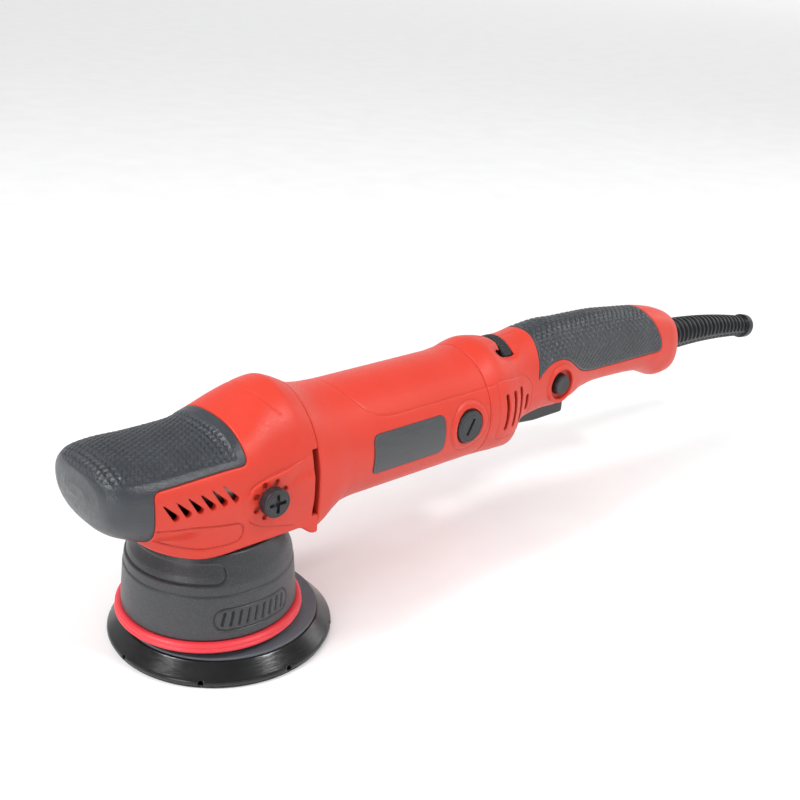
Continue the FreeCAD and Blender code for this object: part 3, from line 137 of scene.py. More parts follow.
# ---- signed distances
# A shape is a function of x, y and z whose value is the distance to its surface, negative inside.

def blunt_max(a, b, radius):
    """The larger of two distances, with the edge between them rounded."""
    gap = np.maximum(radius - np.abs(a - b), 0.0)
    return np.maximum(a, b) + gap * gap / (4.0 * radius)


def blunt_min(a, b, radius):
    """The smaller of two distances, with the corner between them filleted."""
    return -blunt_max(-a, -b, radius)


def carve(base, tool, radius):
    """base with tool cut away, and the new edges rounded."""
    return blunt_max(base, -tool, radius)


def slab(value, low, high):
    """Distance to the layer between two parallel planes."""
    return np.maximum(low - value, value - high)


def engrave(base, distance, width, depth, where=True):
    """A shallow groove in base along the line where distance is nought."""
    groove = depth * np.exp(-np.minimum((distance / width) ** 2, 30.0))
    return base + np.where(where, groove, 0.0)


def turned_plane(u, v, degrees):
    """u and v measured along axes that are turned by an angle."""
    cos, sin = math.cos(math.radians(degrees)), math.sin(math.radians(degrees))
    return u * cos + v * sin, v * cos - u * sin


def off_whole(value):
    """How far value is from the nearest whole number."""
    return np.abs(value - np.round(value))


def smooth_step(value, start, end):
    """Rises smoothly from 0 at start to 1 at end."""
    share = np.clip((value - start) / (end - start), 0.0, 1.0)
    return share * share * (3.0 - 2.0 * share)


def rounded_outline(corners, radius, pieces=5):
    """A closed outline whose corners are replaced by short curves."""
    corners = [np.array(corner, float) for corner in corners]
    points = []
    for index, corner in enumerate(corners):
        before = corners[index - 1] - corner
        after = corners[(index + 1) % len(corners)] - corner
        start = corner + before * min(0.5, radius / np.linalg.norm(before))
        end = corner + after * min(0.5, radius / np.linalg.norm(after))
        for step in range(pieces + 1):
            t = step / pieces
            points.append((1 - t) ** 2 * start + 2 * t * (1 - t) * corner + t * t * end)
    return points


def segment_gap(start, end, u, v):
    """Squared distance to a straight piece of line, and how far along it the nearest point is."""
    du, dv = end[0] - start[0], end[1] - start[1]
    along = ((u - start[0]) * du + (v - start[1]) * dv) / (du * du + dv * dv)
    along = np.clip(along, 0.0, 1.0)
    return (u - start[0] - along * du) ** 2 + (v - start[1] - along * dv) ** 2, along


def outline_distance(outline, u, v):
    """Distance to a closed outline in the plane of u and v, negative inside."""
    nearest, inside = np.inf, False
    for index, end in enumerate(outline):
        start = outline[index - 1]
        if math.dist(start, end) < 1e-6:
            continue
        nearest = np.minimum(nearest, segment_gap(start, end, u, v)[0])
        rise = (end[1] - start[1]) or 1.0
        level = start[0] + (v - start[1]) * (end[0] - start[0]) / rise
        inside = inside ^ (((start[1] <= v) != (end[1] <= v)) & (u < level))
    distance = np.sqrt(nearest)
    return np.where(inside, -distance, distance)


def line_distance(points, u, v):
    """Distance to an open line through points in the plane of u and v."""
    gaps = (segment_gap(start, end, u, v)[0] for start, end in zip(points, points[1:]))
    return np.sqrt(functools.reduce(np.minimum, gaps))


def bar_distance(start, end, start_radius, end_radius, u, v):
    """Distance to a bar in a plane whose ends are round and may differ in size."""
    gap, along = segment_gap(start, end, u, v)
    return np.sqrt(gap) - (start_radius + (end_radius - start_radius) * along)


def bars_distance(spans, start_radius, end_radius, u, v):
    """Distance to the nearest of several bars, each given by its two end points."""
    bars = (bar_distance(*span, start_radius, end_radius, u, v) for span in spans)
    return functools.reduce(np.minimum, bars)


def box_distance(x, y, z, low, high):
    """Distance to an upright box; exact enough near its faces."""
    return functools.reduce(np.maximum, map(slab, (x, y, z), low, high))


class Loft:
    """A casing whose cross-section is a superellipse that changes along X.

    A station is: x, half width, top, bottom, upper power, lower power, height of the widest
    point. Between stations the values follow a curve that never swings past them.
    """

    def __init__(self, stations):
        table = np.array(stations, float)
        self.xs = table[:, 0]
        self.columns = table[:, 1:].T
        self.slopes = np.array([self.slopes_of(column) for column in self.columns])

    def slopes_of(self, values):
        """Slopes at the stations that keep a column's curve between its values."""
        widths = np.diff(self.xs)
        rises = np.diff(values) / widths
        slopes = np.zeros(len(values))
        slopes[0], slopes[-1] = rises[0], rises[-1]
        for i in range(1, len(values) - 1):
            before, after = rises[i - 1], rises[i]
            if before * after > 0:
                weight_a = 2 * widths[i] + widths[i - 1]
                weight_b = widths[i] + 2 * widths[i - 1]
                slopes[i] = (weight_a + weight_b) / (weight_a / before + weight_b / after)
        return slopes

    def at(self, x):
        """The section values at x, as one array per column."""
        x = np.clip(x, self.xs[0], self.xs[-1])
        i = np.clip(np.searchsorted(self.xs, x, side="right") - 1, 0, len(self.xs) - 2)
        width = self.xs[i + 1] - self.xs[i]
        u = (x - self.xs[i]) / width
        found = []
        for values, slopes in zip(self.columns, self.slopes):
            found.append((1 + 2 * u) * (1 - u) ** 2 * values[i]
                         + u * (1 - u) ** 2 * width * slopes[i]
                         + u * u * (3 - 2 * u) * values[i + 1]
                         + u * u * (u - 1) * width * slopes[i + 1])
        return found

    def distance(self, x, y, z):
        """Distance to the casing, from its section's ratio and how fast that changes."""
        half, top, bottom, power_up, power_down, middle = self.at(x)
        near = 0.05
        ahead, behind = self.at(x + near), self.at(x - near)
        half_slope, top_slope, bottom_slope, _, _, middle_slope = [
            (a - b) / (2 * near) for a, b in zip(ahead, behind)]
        rise = z - middle
        above = rise > 0
        reach = np.where(above, top - middle, middle - bottom)
        reach_slope = np.where(above, top_slope - middle_slope, middle_slope - bottom_slope)
        power = np.where(above, power_up, power_down)
        across = np.abs(y) / half + 1e-6
        up = np.abs(rise) / reach + 1e-6
        ratio = (across ** power + up ** power) ** (1 / power)
        share = (across / ratio) ** (power - 1)
        share_up = (up / ratio) ** (power - 1)
        slope_x = share * across * half_slope / half
        slope_x = slope_x + share_up * (up * reach_slope + np.sign(rise) * middle_slope) / reach
        slope_x = slope_x * np.minimum(ratio, 1.0)
        steepness = np.sqrt((share / half) ** 2 + (share_up / reach) ** 2 + slope_x ** 2)
        return (ratio - 1.0) / steepness


HEAD = Loft((
    (-76, 16, 114, 101, 2.2, 2.2, 108), (-75, 23, 119, 96, 2.3, 2.3, 107.5),
    (-71, 29.5, 123, 88.5, 2.5, 2.6, 107), (-63, 34, 124.8, 84, 2.7, 2.8, 106),
    (-52, 36.5, 124.8, 80.5, 2.8, 3.2, 104), (-38, 37.7, 124.2, 80, 2.8, 4, 101),
    (-12, 38, 125.8, 79, 2.6, 4, 98), (2, 38, 131.5, 78, 2.4, 4, 97),
    (14, 38, 138, 77, 2.2, 4, 97), (24, 38.3, 142.5, 76, 2, 4, 97),
    (34, 38.5, 144, 75, 2, 4, 97), (40, 38.5, 142, 74, 2, 4, 97),
    (45, 38.5, 139.5, 73, 2, 4, 97)))

MOTOR = Loft((
    (45, 38.5, 139.5, 58, 2, 5, 97), (52, 38, 135.5, 59, 2, 4, 96.5),
    (60, 37.3, 133, 60.5, 2, 2.9, 96.2), (70, 35.9, 131.8, 60.7, 2, 2.2, 96),
    (85, 35.3, 131.3, 60.7, 2, 2, 96), (165, 35.3, 131.3, 60.7, 2, 2, 96),
    (179, 35.5, 132.5, 60.7, 2, 2, 96)))

HANDLE = Loft((
    (179, 35.5, 132.5, 60.7, 2, 2, 96), (192, 35.5, 136, 61, 2, 2.2, 96),
    (203, 33.5, 134.5, 61, 2, 2.5, 97), (210, 31, 132.5, 60.8, 2, 2.8, 98),
    (218, 28, 132, 74, 2.1, 3, 100), (225, 26.5, 132.2, 77, 2.1, 3, 101),
    (245, 25, 135, 79, 2.2, 3, 102), (262, 24, 136, 77.8, 2.3, 3, 103),
    (276, 22, 135.3, 79, 2.3, 3, 104), (290, 20, 135, 82, 2.4, 2.6, 105),
    (310, 19, 134.3, 83.4, 2.4, 2.4, 106), (340, 19, 131, 82.3, 2.4, 2.4, 105),
    (362, 19, 128.3, 80, 2.4, 2.4, 102), (374, 19.5, 126, 75.5, 2.4, 2.2, 99),
    (386, 19.5, 122.8, 71.5, 2.4, 2.2, 96), (396, 18, 118, 72, 2.4, 2.2, 94),
    (400, 14, 112, 76, 2.2, 2.2, 92)))


# ---- meshes

def skin_of(shape, low, high, cell):
    """Points and four-sided faces of a shape's surface inside a box."""
    cell = cell * COARSER
    low = np.array(low, float)
    counts = [int(math.ceil((b - a) / cell)) + 1 for a, b in zip(low, high)]
    axes = [a + cell * np.arange(count) for a, count in zip(low, counts)]
    x, y, z = np.meshgrid(*axes, indexing="ij", sparse=True)
    band = 4 * cell
    values = np.clip(np.broadcast_to(shape(x, y, z), counts), -band, band)
    grid = openvdb.FloatGrid(band)
    grid.copyFromArray(np.ascontiguousarray(values, np.float32))
    points, quads = grid.convertToQuads(0.0)
    points = np.array(points, float) * cell + low
    quads = np.array(quads, np.int64)
    points, quads = without_crumbs(points, quads)
    for _ in range(2):
        distance, slope = distance_and_slope(shape, points, cell * 0.3)
        move = distance / np.maximum((slope ** 2).sum(1), 0.25)
        points = points - slope * np.clip(move, -0.5 * cell, 0.5 * cell)[:, None]
    return points, outward(points, quads)


def widened(low, high, margin):
    """A box made larger by a margin on every side."""
    return np.array(low, float) - margin, np.array(high, float) + margin


def distance_and_slope(shape, points, near):
    """A shape's distance and its gradient at a list of points."""
    slope = np.empty_like(points)
    for axis in range(3):
        step = np.zeros(3)
        step[axis] = near
        slope[:, axis] = shape(*(points + step).T) - shape(*(points - step).T)
    return shape(*points.T), slope / (2 * near)


def without_crumbs(points, quads, least_share=0.04):
    """Drops loose specks: connected pieces far smaller than the largest one."""
    label = np.arange(len(points))
    while True:
        lowest = label[quads].min(axis=1)
        lower = label.copy()
        np.minimum.at(lower, quads, lowest[:, None])
        lower = lower[lower]
        if (lower == label).all():
            break
        label = lower
    sizes = np.bincount(label, minlength=len(points))
    keep = sizes[label] >= least_share * sizes.max()
    quads = quads[keep[quads[:, 0]]]
    order = np.cumsum(keep) - 1
    return points[keep], order[quads]


def outward(points, quads):
    """Faces turned so that their normals point out of the solid."""
    a, b, c, d = (points[quads[:, i]] for i in range(4))
    volume = (a * np.cross(b - a, d - a)).sum() + (c * np.cross(d - c, b - c)).sum()
    return quads if volume > 0 else quads[:, ::-1]


def mirrored(points, quads):
    """The surface together with its copy on the other side of the XZ plane."""
    other = points * np.array([1.0, -1.0, 1.0])
    return np.vstack([points, other]), np.vstack([quads, quads[:, ::-1] + len(points)])


def turned(radius, height, around):
    """Rings of points about the Z axis, one for each radius and its height."""
    turn = 2 * np.pi * np.arange(around) / around
    return np.stack([np.outer(radius, np.cos(turn)), np.outer(radius, np.sin(turn)),
                     np.outer(height, np.ones(around))], axis=2).reshape(-1, 3)


def turned_skin(profile, centre_x, around=256):
    """A closed profile of radius and height, turned about an upright axis."""
    points = turned(*np.array(profile, float).T, around) + (centre_x, 0.0, 0.0)
    return points, outward(points, ring_faces(len(profile), around, True))


def ring_faces(rows, around, closed=False):
    """Faces between rows of points, each row a ring; closed also joins the last to the first."""
    i, j = np.meshgrid(np.arange(rows if closed else rows - 1), np.arange(around), indexing="ij")
    i_next, j_next = (i + 1) % rows, (j + 1) % around
    faces = [i * around + j, i_next * around + j, i_next * around + j_next, i * around + j_next]
    return np.stack([face.ravel() for face in faces], axis=1)


def placed(name, data):
    """A new object in the scene that holds data."""
    item = bpy.data.objects.new(name, data)
    bpy.context.scene.collection.objects.link(item)
    return item


def mesh_object(name, points, faces, material):
    """A smooth object from points in metres and four-sided faces."""
    mesh = bpy.data.meshes.new(name)
    mesh.from_pydata(points.tolist(), [], faces.tolist())
    mesh.polygons.foreach_set("use_smooth", [True] * len(faces))
    mesh.update()
    mesh.materials.append(material)
    return placed(name, mesh)


def add_piece(node, skin):
    """Makes the visible mesh that stands for a CAD node and rides on its body."""
    points, quads = skin
    piece = mesh_object(node + "_skin", points * MM, quads, material_for(SLOT_OF[node]))
    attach(piece, NODES[node]["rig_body"])
    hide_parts(node)
    return piece


def add_round_pair(node, shape, inner, cell):
    """A round piece that faces sideways, from inner to its face, and its twin opposite."""
    x, z, radius, face = disc_of(node)
    low, high = widened((x - radius, inner + 1, z - radius), (x + radius, face, z + radius), 1)
    add_piece(node, mirrored(*skin_of(shape, low, high, cell)))


# ---- materials

class Shader:
    """A node material whose patterns are measured in millimetres of the object's own space."""

    def __init__(self, name):
        self.material = bpy.data.materials.new(name)
        self.material.use_nodes = True
        self.nodes = self.material.node_tree.nodes
        self.links = self.material.node_tree.links
        self.surface = self.nodes["Principled BSDF"]
        self.place = self.add("TexCoord", {}).outputs["Object"]
        self.place = self.stretched((1 / MM, 1 / MM, 1 / MM))

    def add(self, kind, inputs, **settings):
        """A new node; each of its inputs gets a value or a link."""
        node = self.nodes.new("ShaderNode" + kind)
        for name, value in settings.items():
            setattr(node, name, value)
        for name, value in inputs.items():
            if isinstance(value, bpy.types.NodeSocket):
                self.links.new(value, node.inputs[name])
            else:
                node.inputs[name].default_value = value
        return node

    def stretched(self, factors):
        """The place vector scaled by a factor along each axis."""
        return self.add("Mapping", {"Scale": factors, "Vector": self.place}).outputs["Vector"]

    def noise(self, size, detail=2.0, place=None):
        """Noise whose blobs are about size millimetres across."""
        inputs = {"Scale": 1.0 / size, "Detail": detail, "Vector": place or self.place}
        return self.add("TexNoise", inputs).outputs["Fac"]

    def cells(self, size):
        """Distance to the nearest of many scattered points, size millimetres apart."""
        inputs = {"Scale": 1.0 / size, "Vector": self.place}
        return self.add("TexVoronoi", inputs).outputs["Distance"]

    def waves(self, size, axis, distortion=0.0):
        """Bands size millimetres wide across one axis."""
        inputs = {"Scale": 0.314 / size, "Distortion": distortion, "Vector": self.place}
        return self.add("TexWave", inputs, bands_direction=axis).outputs["Fac"]

    def spread(self, pattern, low, high, start=0.3, end=0.7):
        """A pattern's values between start and end, spread over low to high."""
        return self.add("MapRange", {"Value": pattern, "From Min": start, "From Max": end,
                                     "To Min": low, "To Max": high}).outputs["Result"]

    def tint(self, pattern, first, second, start=0.3, end=0.7):
        """Base colour that runs from one colour to another with a pattern."""
        share = self.spread(pattern, 0.0, 1.0, start, end)
        node = self.add("Mix", {"Factor": share, "A": (*first, 1), "B": (*second, 1)},
                        data_type="RGBA")
        self.links.new(node.outputs["Result"], self.surface.inputs["Base Color"])

    def rough(self, pattern, low, high):
        """Roughness between low and high, following a pattern."""
        self.links.new(self.spread(pattern, low, high), self.surface.inputs["Roughness"])

    def bump(self, height, depth):
        """Bump of a depth in millimetres, added to any bump that is there already."""
        inputs = {"Distance": depth * MM, "Height": height}
        if self.surface.inputs["Normal"].links:
            inputs["Normal"] = self.surface.inputs["Normal"].links[0].from_socket
        node = self.add("Bump", inputs)
        self.links.new(node.outputs["Normal"], self.surface.inputs["Normal"])

    def crevices(self, darkest_shade):
        """Painted shade: darkens the base colour in the hollows of the moulded detail, where shade
        falls.
        """
        crevice_shade_mask = self.add("NewGeometry", {}).outputs["Pointiness"]
        source = self.surface.inputs["Base Color"].links[0].from_socket
        # painted shade, down to darkest_shade where the surface curves inwards
        share = self.spread(crevice_shade_mask, darkest_shade, 1.0, 0.42, 0.495)
        node = self.add("Mix", {"Factor": 1.0, "A": source, "B": share}, data_type="RGBA",
                        blend_type="MULTIPLY")
        self.links.new(node.outputs["Result"], self.surface.inputs["Base Color"])

    def set(self, **values):
        """Plain values of the surface, such as Metallic=1.0."""
        for name, value in values.items():
            self.surface.inputs[name.replace("_", " ")].default_value = value


def moulded(name, base, tint, rough, grain, depth):
    """Spark-eroded plastic: a fine pebble grain, faint patches of colour and of shine."""
    shader = Shader(name)
    shader.tint(shader.noise(38.0, 3.0), base, tint)
    shader.rough(shader.noise(grain * 2.2, 3.0), rough - 0.07, rough + 0.09)
    shader.bump(shader.noise(grain, 3.0), depth)
    return shader


def red_plastic():
    """The casings' orange-red plastic, with painted shade in its grooves."""
    shader = moulded("red_plastic", (0.65, 0.045, 0.024), (0.61, 0.039, 0.020), 0.40, 0.55, 0.08)
    shader.set(Specular_IOR_Level=0.4)
    # painted shade in the grooves and slots
    shader.crevices(0.45)
    return shader


def dark_plastic():
    """Near-black plastic of the buttons, plugs and caps."""
    return moulded("dark_plastic", (0.020, 0.022, 0.025), (0.015, 0.016, 0.018), 0.38, 0.35, 0.04)


def guard_black():
    """Black rubber of the cord and its sleeve."""
    shader = moulded("guard_black", (0.006, 0.0065, 0.008), (0.010, 0.011, 0.013), 0.36, 0.5, 0.015)
    shader.set(Specular_IOR_Level=0.3)
    # painted shade in the grooves between the ribs
    shader.crevices(0.3)
    return shader


def soft_grip():
    """Over-moulded rubber: matt, with a leathery fine grain between the moulded bumps."""
    shader = Shader("soft_grip")
    shader.tint(shader.noise(22.0, 3.0), (0.026, 0.030, 0.036), (0.038, 0.043, 0.051))
    shader.rough(shader.noise(3.0, 4.0), 0.28, 0.42)
    shader.set(Specular_IOR_Level=0.65)
    shader.bump(shader.cells(0.8), 0.12)
    shader.bump(shader.noise(0.4, 2.0), 0.05)
    # painted shade between the moulded bumps and knurls
    shader.crevices(0.25)
    return shader


def shroud_rubber():
    """Satin rubber with a fine sparkle."""
    shader = Shader("shroud_rubber")
    shader.tint(shader.noise(0.5, 1.0), (0.028, 0.030, 0.034), (0.070, 0.073, 0.080), 0.5, 0.8)
    shader.rough(shader.noise(1.2, 3.0), 0.32, 0.46)
    shader.bump(shader.noise(0.45, 3.0), 0.05)
    shader.set(Specular_IOR_Level=0.6)
    # painted shade in the panel groove and between the slats
    shader.crevices(0.2)
    return shader


def ring_red():
    """Smooth, slightly pink red of the bumper ring."""
    return moulded("ring_red", (0.78, 0.045, 0.062), (0.70, 0.036, 0.050), 0.38, 0.6, 0.02)


def plate_black():
    """Glossy moulded urethane with faint flow lines round the axis."""
    shader = Shader("plate_black")
    shader.tint(shader.noise(14.0, 3.0), (0.006, 0.0065, 0.007), (0.011, 0.0115, 0.012))
    streaks = shader.noise(2.0, 3.0, shader.stretched((0.3, 0.3, 3.0)))
    shader.rough(streaks, 0.16, 0.26)
    shader.bump(streaks, 0.03)
    return shader


def plate_grey():
    """Glass-filled stiffener: blue-grey, with short fibres showing in the surface."""
    shader = Shader("plate_grey")
    fibres = shader.noise(0.8, 4.0, shader.stretched((1.0, 3.0, 1.0)))
    shader.tint(fibres, (0.075, 0.090, 0.105), (0.110, 0.128, 0.146))
    shader.rough(shader.noise(5.0, 3.0), 0.42, 0.60)
    shader.bump(fibres, 0.03)
    return shader


def hook_black():
    """Hook fabric: a dense field of tiny hooks."""
    shader = Shader("hook_black")
    hooks = shader.cells(0.8)
    shader.tint(hooks, (0.055, 0.056, 0.060), (0.012, 0.012, 0.014), 0.1, 0.6)
    shader.rough(shader.noise(2.0), 0.75, 0.95)
    shader.bump(hooks, 0.35)
    shader.set(Sheen_Weight=0.3)
    return shader


def metal(name, base, tint, rough, grain, depth, stretch=(1.0, 1.0, 1.0)):
    """Bare metal with tool marks along one axis and light tarnish."""
    shader = Shader(name)
    marks = shader.noise(grain, 4.0, shader.stretched(stretch))
    shader.tint(shader.noise(6.0, 3.0), base, tint)
    shader.rough(marks, rough - 0.08, rough + 0.12)
    shader.bump(marks, depth)
    shader.set(Metallic=1.0)
    return shader


def steel():
    """Turned and ground steel."""
    return metal("steel", (0.56, 0.57, 0.58), (0.47, 0.48, 0.50), 0.28, 0.4, 0.01,
                 (1.0, 1.0, 4.0))


def screw_steel():
    """Blackened steel of the screws and clips."""
    return metal("screw_steel", (0.20, 0.20, 0.21), (0.30, 0.30, 0.31), 0.34, 0.5, 0.01)


def bearing_steel():
    """Polished rings."""
    return metal("bearing_steel", (0.66, 0.67, 0.69), (0.60, 0.61, 0.63), 0.18, 0.5, 0.005,
                 (0.3, 3.0, 3.0))


def cast_alloy():
    """Die-cast alloy with a pebbled skin."""
    shader = metal("cast_alloy", (0.52, 0.53, 0.54), (0.42, 0.43, 0.44), 0.46, 1.1, 0.06)
    shader.bump(shader.cells(1.6), 0.05)
    return shader


def lamination():
    """A stack of thin steel sheets, seen as fine lines across the motor's axis."""
    shader = metal("lamination", (0.22, 0.22, 0.23), (0.32, 0.31, 0.30), 0.42, 0.6, 0.01)
    shader.bump(shader.waves(0.5, "X"), 0.08)
    return shader


def copper():
    """Enamelled wire laid side by side."""
    shader = metal("copper", (0.62, 0.23, 0.10), (0.72, 0.31, 0.15), 0.26, 0.8, 0.01)
    shader.bump(shader.waves(0.6, "DIAGONAL", 1.5), 0.18)
    return shader


def brass():
    """Drawn brass of the brush holders."""
    return metal("brass", (0.74, 0.54, 0.22), (0.66, 0.47, 0.19), 0.30, 0.7, 0.01)


def carbon():
    """Dull pressed carbon."""
    return moulded("carbon", (0.022, 0.022, 0.024), (0.035, 0.035, 0.038), 0.50, 0.6, 0.03)


def badge():
    """Blank satin plate with a brushed grain along the motor."""
    shader = Shader("badge")
    brushed = shader.noise(0.7, 4.0, shader.stretched((0.05, 1.0, 1.0)))
    shader.tint(brushed, (0.046, 0.049, 0.054), (0.062, 0.066, 0.072))
    shader.rough(brushed, 0.30, 0.46)
    shader.bump(brushed, 0.01)
    return shader


MAKERS = {maker.__name__: maker for maker in (
    red_plastic, dark_plastic, guard_black, soft_grip, shroud_rubber, ring_red, plate_black,
    plate_grey, hook_black, steel, screw_steel, bearing_steel, cast_alloy, lamination, copper,
    brass, carbon, badge)}
made = {}


def material_for(slot):
    """The one material of a slot, made when it is first asked for."""
    if slot not in made:
        made[slot] = MAKERS[slot]().material
    return made[slot]


# ---- orbiting plate

HOLE_Z, HOLE_RADIUS, HOLE_DEPTH = 2.9, 1.5, 8.0
# Radius and height of the moulded plate, from the middle of its underside round the rim
PLATE_SECTION = rounded_outline([
    (4.3, PLATE_LOW[2]), (PLATE_RADIUS - 1.0, PLATE_LOW[2]), (PLATE_RADIUS, 2.3),
    (PLATE_RADIUS - 0.3, 3.9), (DISC_RADIUS + 0.5, PLATE_HIGH[2]), (4.3, PLATE_HIGH[2])], 0.7, 3)


def backing_plate(x, y, z):
    """The plate with eight small air holes let into its rim."""
    radius = np.hypot(x - PLATE_X, y)
    body = outline_distance(PLATE_SECTION, radius, z) - 0.02    # makes up for the rounded rim
    for index in range(8):
        along, across = turned_plane(x - PLATE_X, y, 2 + 45 * index)
        hole = np.hypot(across, z - HOLE_Z) - HOLE_RADIUS
        hole = np.maximum(hole, PLATE_RADIUS - HOLE_DEPTH - along)
        body = carve(body, hole, 0.4)
    return body


def build_plate():
    """The plate and the disc on top of it."""
    low, high = widened(PLATE_LOW, PLATE_HIGH, 1.0)
    add_piece("backing_plate", skin_of(backing_plate, low, high, 0.55))
    bottom, top = DISC_LOW[2], DISC_HIGH[2]
    disc = rounded_outline([
        (12.3, bottom), (DISC_RADIUS, bottom), (DISC_RADIUS, top), (30.5, top),
        (30.0, top - 0.35), (29.0, top - 0.35), (28.5, top), (12.3, top)], 0.3, 3)
    add_piece("stiffening_disc", turned_skin(disc, PLATE_X))


# ---- shroud

# Radius and height round the skirt's wall: up its outside, then down its inside
SHROUD_WALL = rounded_outline([
    (46.5, 17.2), (46.5, 21.8), (48.0, 22.6), (46.2, 47.2), (45.4, 47.6), (45.4, 48.4),
    (45.8, 48.8), (45.3, 52.5), (43.4, 57.5), (40.5, 62), (38.6, 65.6), (37.7, 67.4),
    (34.9, 67.4), (34.9, 65.9), (30, 65.9), (30, 63.8), (37.4, 63.8), (37.9, 60.5),
    (40.8, 56), (42.2, 49), (43.0, 40), (43.9, 17.2)], 0.9, 3)
SHOULDER_RADIUS, SKIRT_RADIUS = 43.0, 47.0    # at the front panel and at the side patches


def shroud(x, y, z):
    """Skirt with an outlined panel round its front shoulder and a slatted patch on each side."""
    radius = np.hypot(x, y)
    body = outline_distance(SHROUD_WALL, radius, z)
    along = SHOULDER_RADIUS * (np.pi - np.abs(np.arctan2(y, x)))
    reach = SHOULDER_RADIUS * math.radians(69)
    corner = 5.6
    up = (z - 58.6) * 1.15
    panel = np.hypot(np.maximum(np.abs(along) - reach + corner, 0.0), up) - corner
    outside = np.clip((radius - 36.0) / 2.0, 0.0, 1.0)
    depth = 1.20 * (1 - smooth_step(z, 60.8, 62.4))
    body = engrave(body, panel, 0.48, depth, radius > 37)
    body = body + 0.45 * (1 - smooth_step(panel, -0.6, 0.0)) * outside

    side = np.arctan2(-np.abs(y), x)
    across = (side + math.radians(91.5)) * SKIRT_RADIUS
    level = z - 34.0
    half_length, half_height = 23.4, 6.2
    beyond = np.maximum(np.abs(across) - half_length + half_height, 0.0)
    patch = np.hypot(beyond, level) - half_height
    body = engrave(body, patch, 0.48, 0.85, radius > 43)
    pitch = 4.6
    slat = off_whole((across - 0.22 * level) / pitch) * pitch
    inside = 1 - smooth_step(patch, -2.4, -1.6)
    return body + 1.40 * np.exp(-(slat / 0.65) ** 2) * inside * (radius > 43)


def build_shroud():
    """The skirt and its red bumper ring."""
    high = SHROUD_HIGH + (1.0, 1.0, 2.6)
    add_piece("shroud", skin_of(shroud, SHROUD_LOW - 1.0, high, 0.50))
    outer = RING_HIGH[1]
    bead = [(46.4, RING_LOW[2] + 0.4), (49.2, RING_LOW[2]), (50.9, 17.2), (outer, 18.7),
            (50.4, 19.8), (outer - 0.3, 20.8), (50.2, 22.0), (48.6, RING_HIGH[2]), (46.4, 21.8)]
    add_piece("shroud_ring", turned_skin(rounded_outline(bead, 0.8, 4), 0.0))


# ---- head

COLLAR_RADIUS, COLLAR_HALF = 44.7, 37.9
COLLAR_DROP = 6.0


def nose_and_collar(x, y, z):
    """Outside of the head: the palm-sized nose, the hump and the collar over the shroud."""
    nose = blunt_max(HEAD.distance(x, y, z), NOSE - x, 3.0)
    plan = np.where(x < 0, np.hypot(x, y), np.abs(y)) - COLLAR_RADIUS
    plan = blunt_max(plan, np.abs(y) - COLLAR_HALF, 5.0)
    floor = COLLAR_FLOOR - COLLAR_DROP * smooth_step(x, SEAM_FRONT - 13.0, SEAM_FRONT - 2.0)
    collar = blunt_max(plan, floor - z, 1.8)
    collar = blunt_max(collar, z - 98.0, 4.0)
    return blunt_min(nose, collar, 6.0)


PALM_EDGE = rounded_outline([
    (1.2, 190), (1.2, 114), (-53.4, 114), (-53.4, 60), (-130, 60), (-130, 190)], 4.0)
RIDGE = rounded_outline([
    (40, 111), (30, 108.2), (9.8, 105.2), (0.5, 102.5), (-3.4, 94), (-1.4, 84.5),
    (5.4, 79.5), (25.6, 74), (40, 70)], 4.0)


def side_ridge(x, y, z):
    """Raised field round the side socket, which runs out towards the seam."""
    height = PLUG_SEAT - 1.9 * smooth_step(x, 20.0, 37.0)
    return blunt_max(outline_distance(RIDGE, x, z), np.abs(y) - height, 0.8)


def socket_notches(x, y, z):
    """Eight short slots round the plug."""
    planes = (turned_plane(x - PLUG_X, z - PLUG_Z, 22.5 + 45 * index) for index in range(8))
    slots = (bar_distance((8.6, 0), (9.6, 0), 1.6, 1.6, *plane) for plane in planes)
    return np.maximum(functools.reduce(np.minimum, slots), PLUG_SEAT - 1.6 - np.abs(y))


def air_vents(x, y, z):
    """Six leaning teardrops in each side of the head."""
    tips = [(-49.3 + 6.8 * index, 106.8 + 0.2 * index) for index in range(6)]
    spans = [(tip, (tip[0] + 6.6, tip[1] - 8.4)) for tip in tips]
    return np.maximum(bars_distance(spans, 0.15, 1.75, x, z), 20.0 - np.abs(y))


def head_casing(x, y, z):
    """Hollow shell of the head, cut for the grip, the vents, the sockets and the rear slot."""
    outside = nose_and_collar(x, y, z)
    body = blunt_min(outside, side_ridge(x, y, z), 0.4)
    crease = x - 19.6 - 0.0135 * y * y
    body = engrave(body, crease, 0.80, 0.28, (z > 126) & (np.abs(y) < 25))
    outlined_oval = bar_distance((-60, 85.4), (-9.5, 79.8), 8.9, 5.6, x, z)
    body = engrave(body, outlined_oval, 0.42, 0.75)
    body = blunt_max(body, x - SEAM_FRONT + SEAM_GAP, 0.9)
    room = outside + CASING_WALL
    room = np.minimum(room, np.maximum(np.hypot(x, y) - 34.6, z - COLLAR_FLOOR - 5.2))
    body = carve(body, room, 0.6)
    recess = np.maximum(outline_distance(PALM_EDGE, x, z), -(outside + RUBBER_DEPTH + 0.1))
    body = carve(body, recess, 0.6)
    body = carve(body, air_vents(x, y, z), 0.5)
    slot = box_distance(x, np.abs(y), z, (40.9, 20, 74), (SEAM_FRONT + 5, 60, 112.5))
    body = carve(body, slot, 0.7)
    body = carve(body, socket_notches(x, y, z), 0.4)
    radius = np.hypot(x - PLUG_X, z - PLUG_Z)
    socket = np.minimum(radius - 4.3, np.maximum(radius - 9.4, np.abs(y) - 35.6))
    return carve(body, np.maximum(socket, 20.0 - np.abs(y)), 0.3)


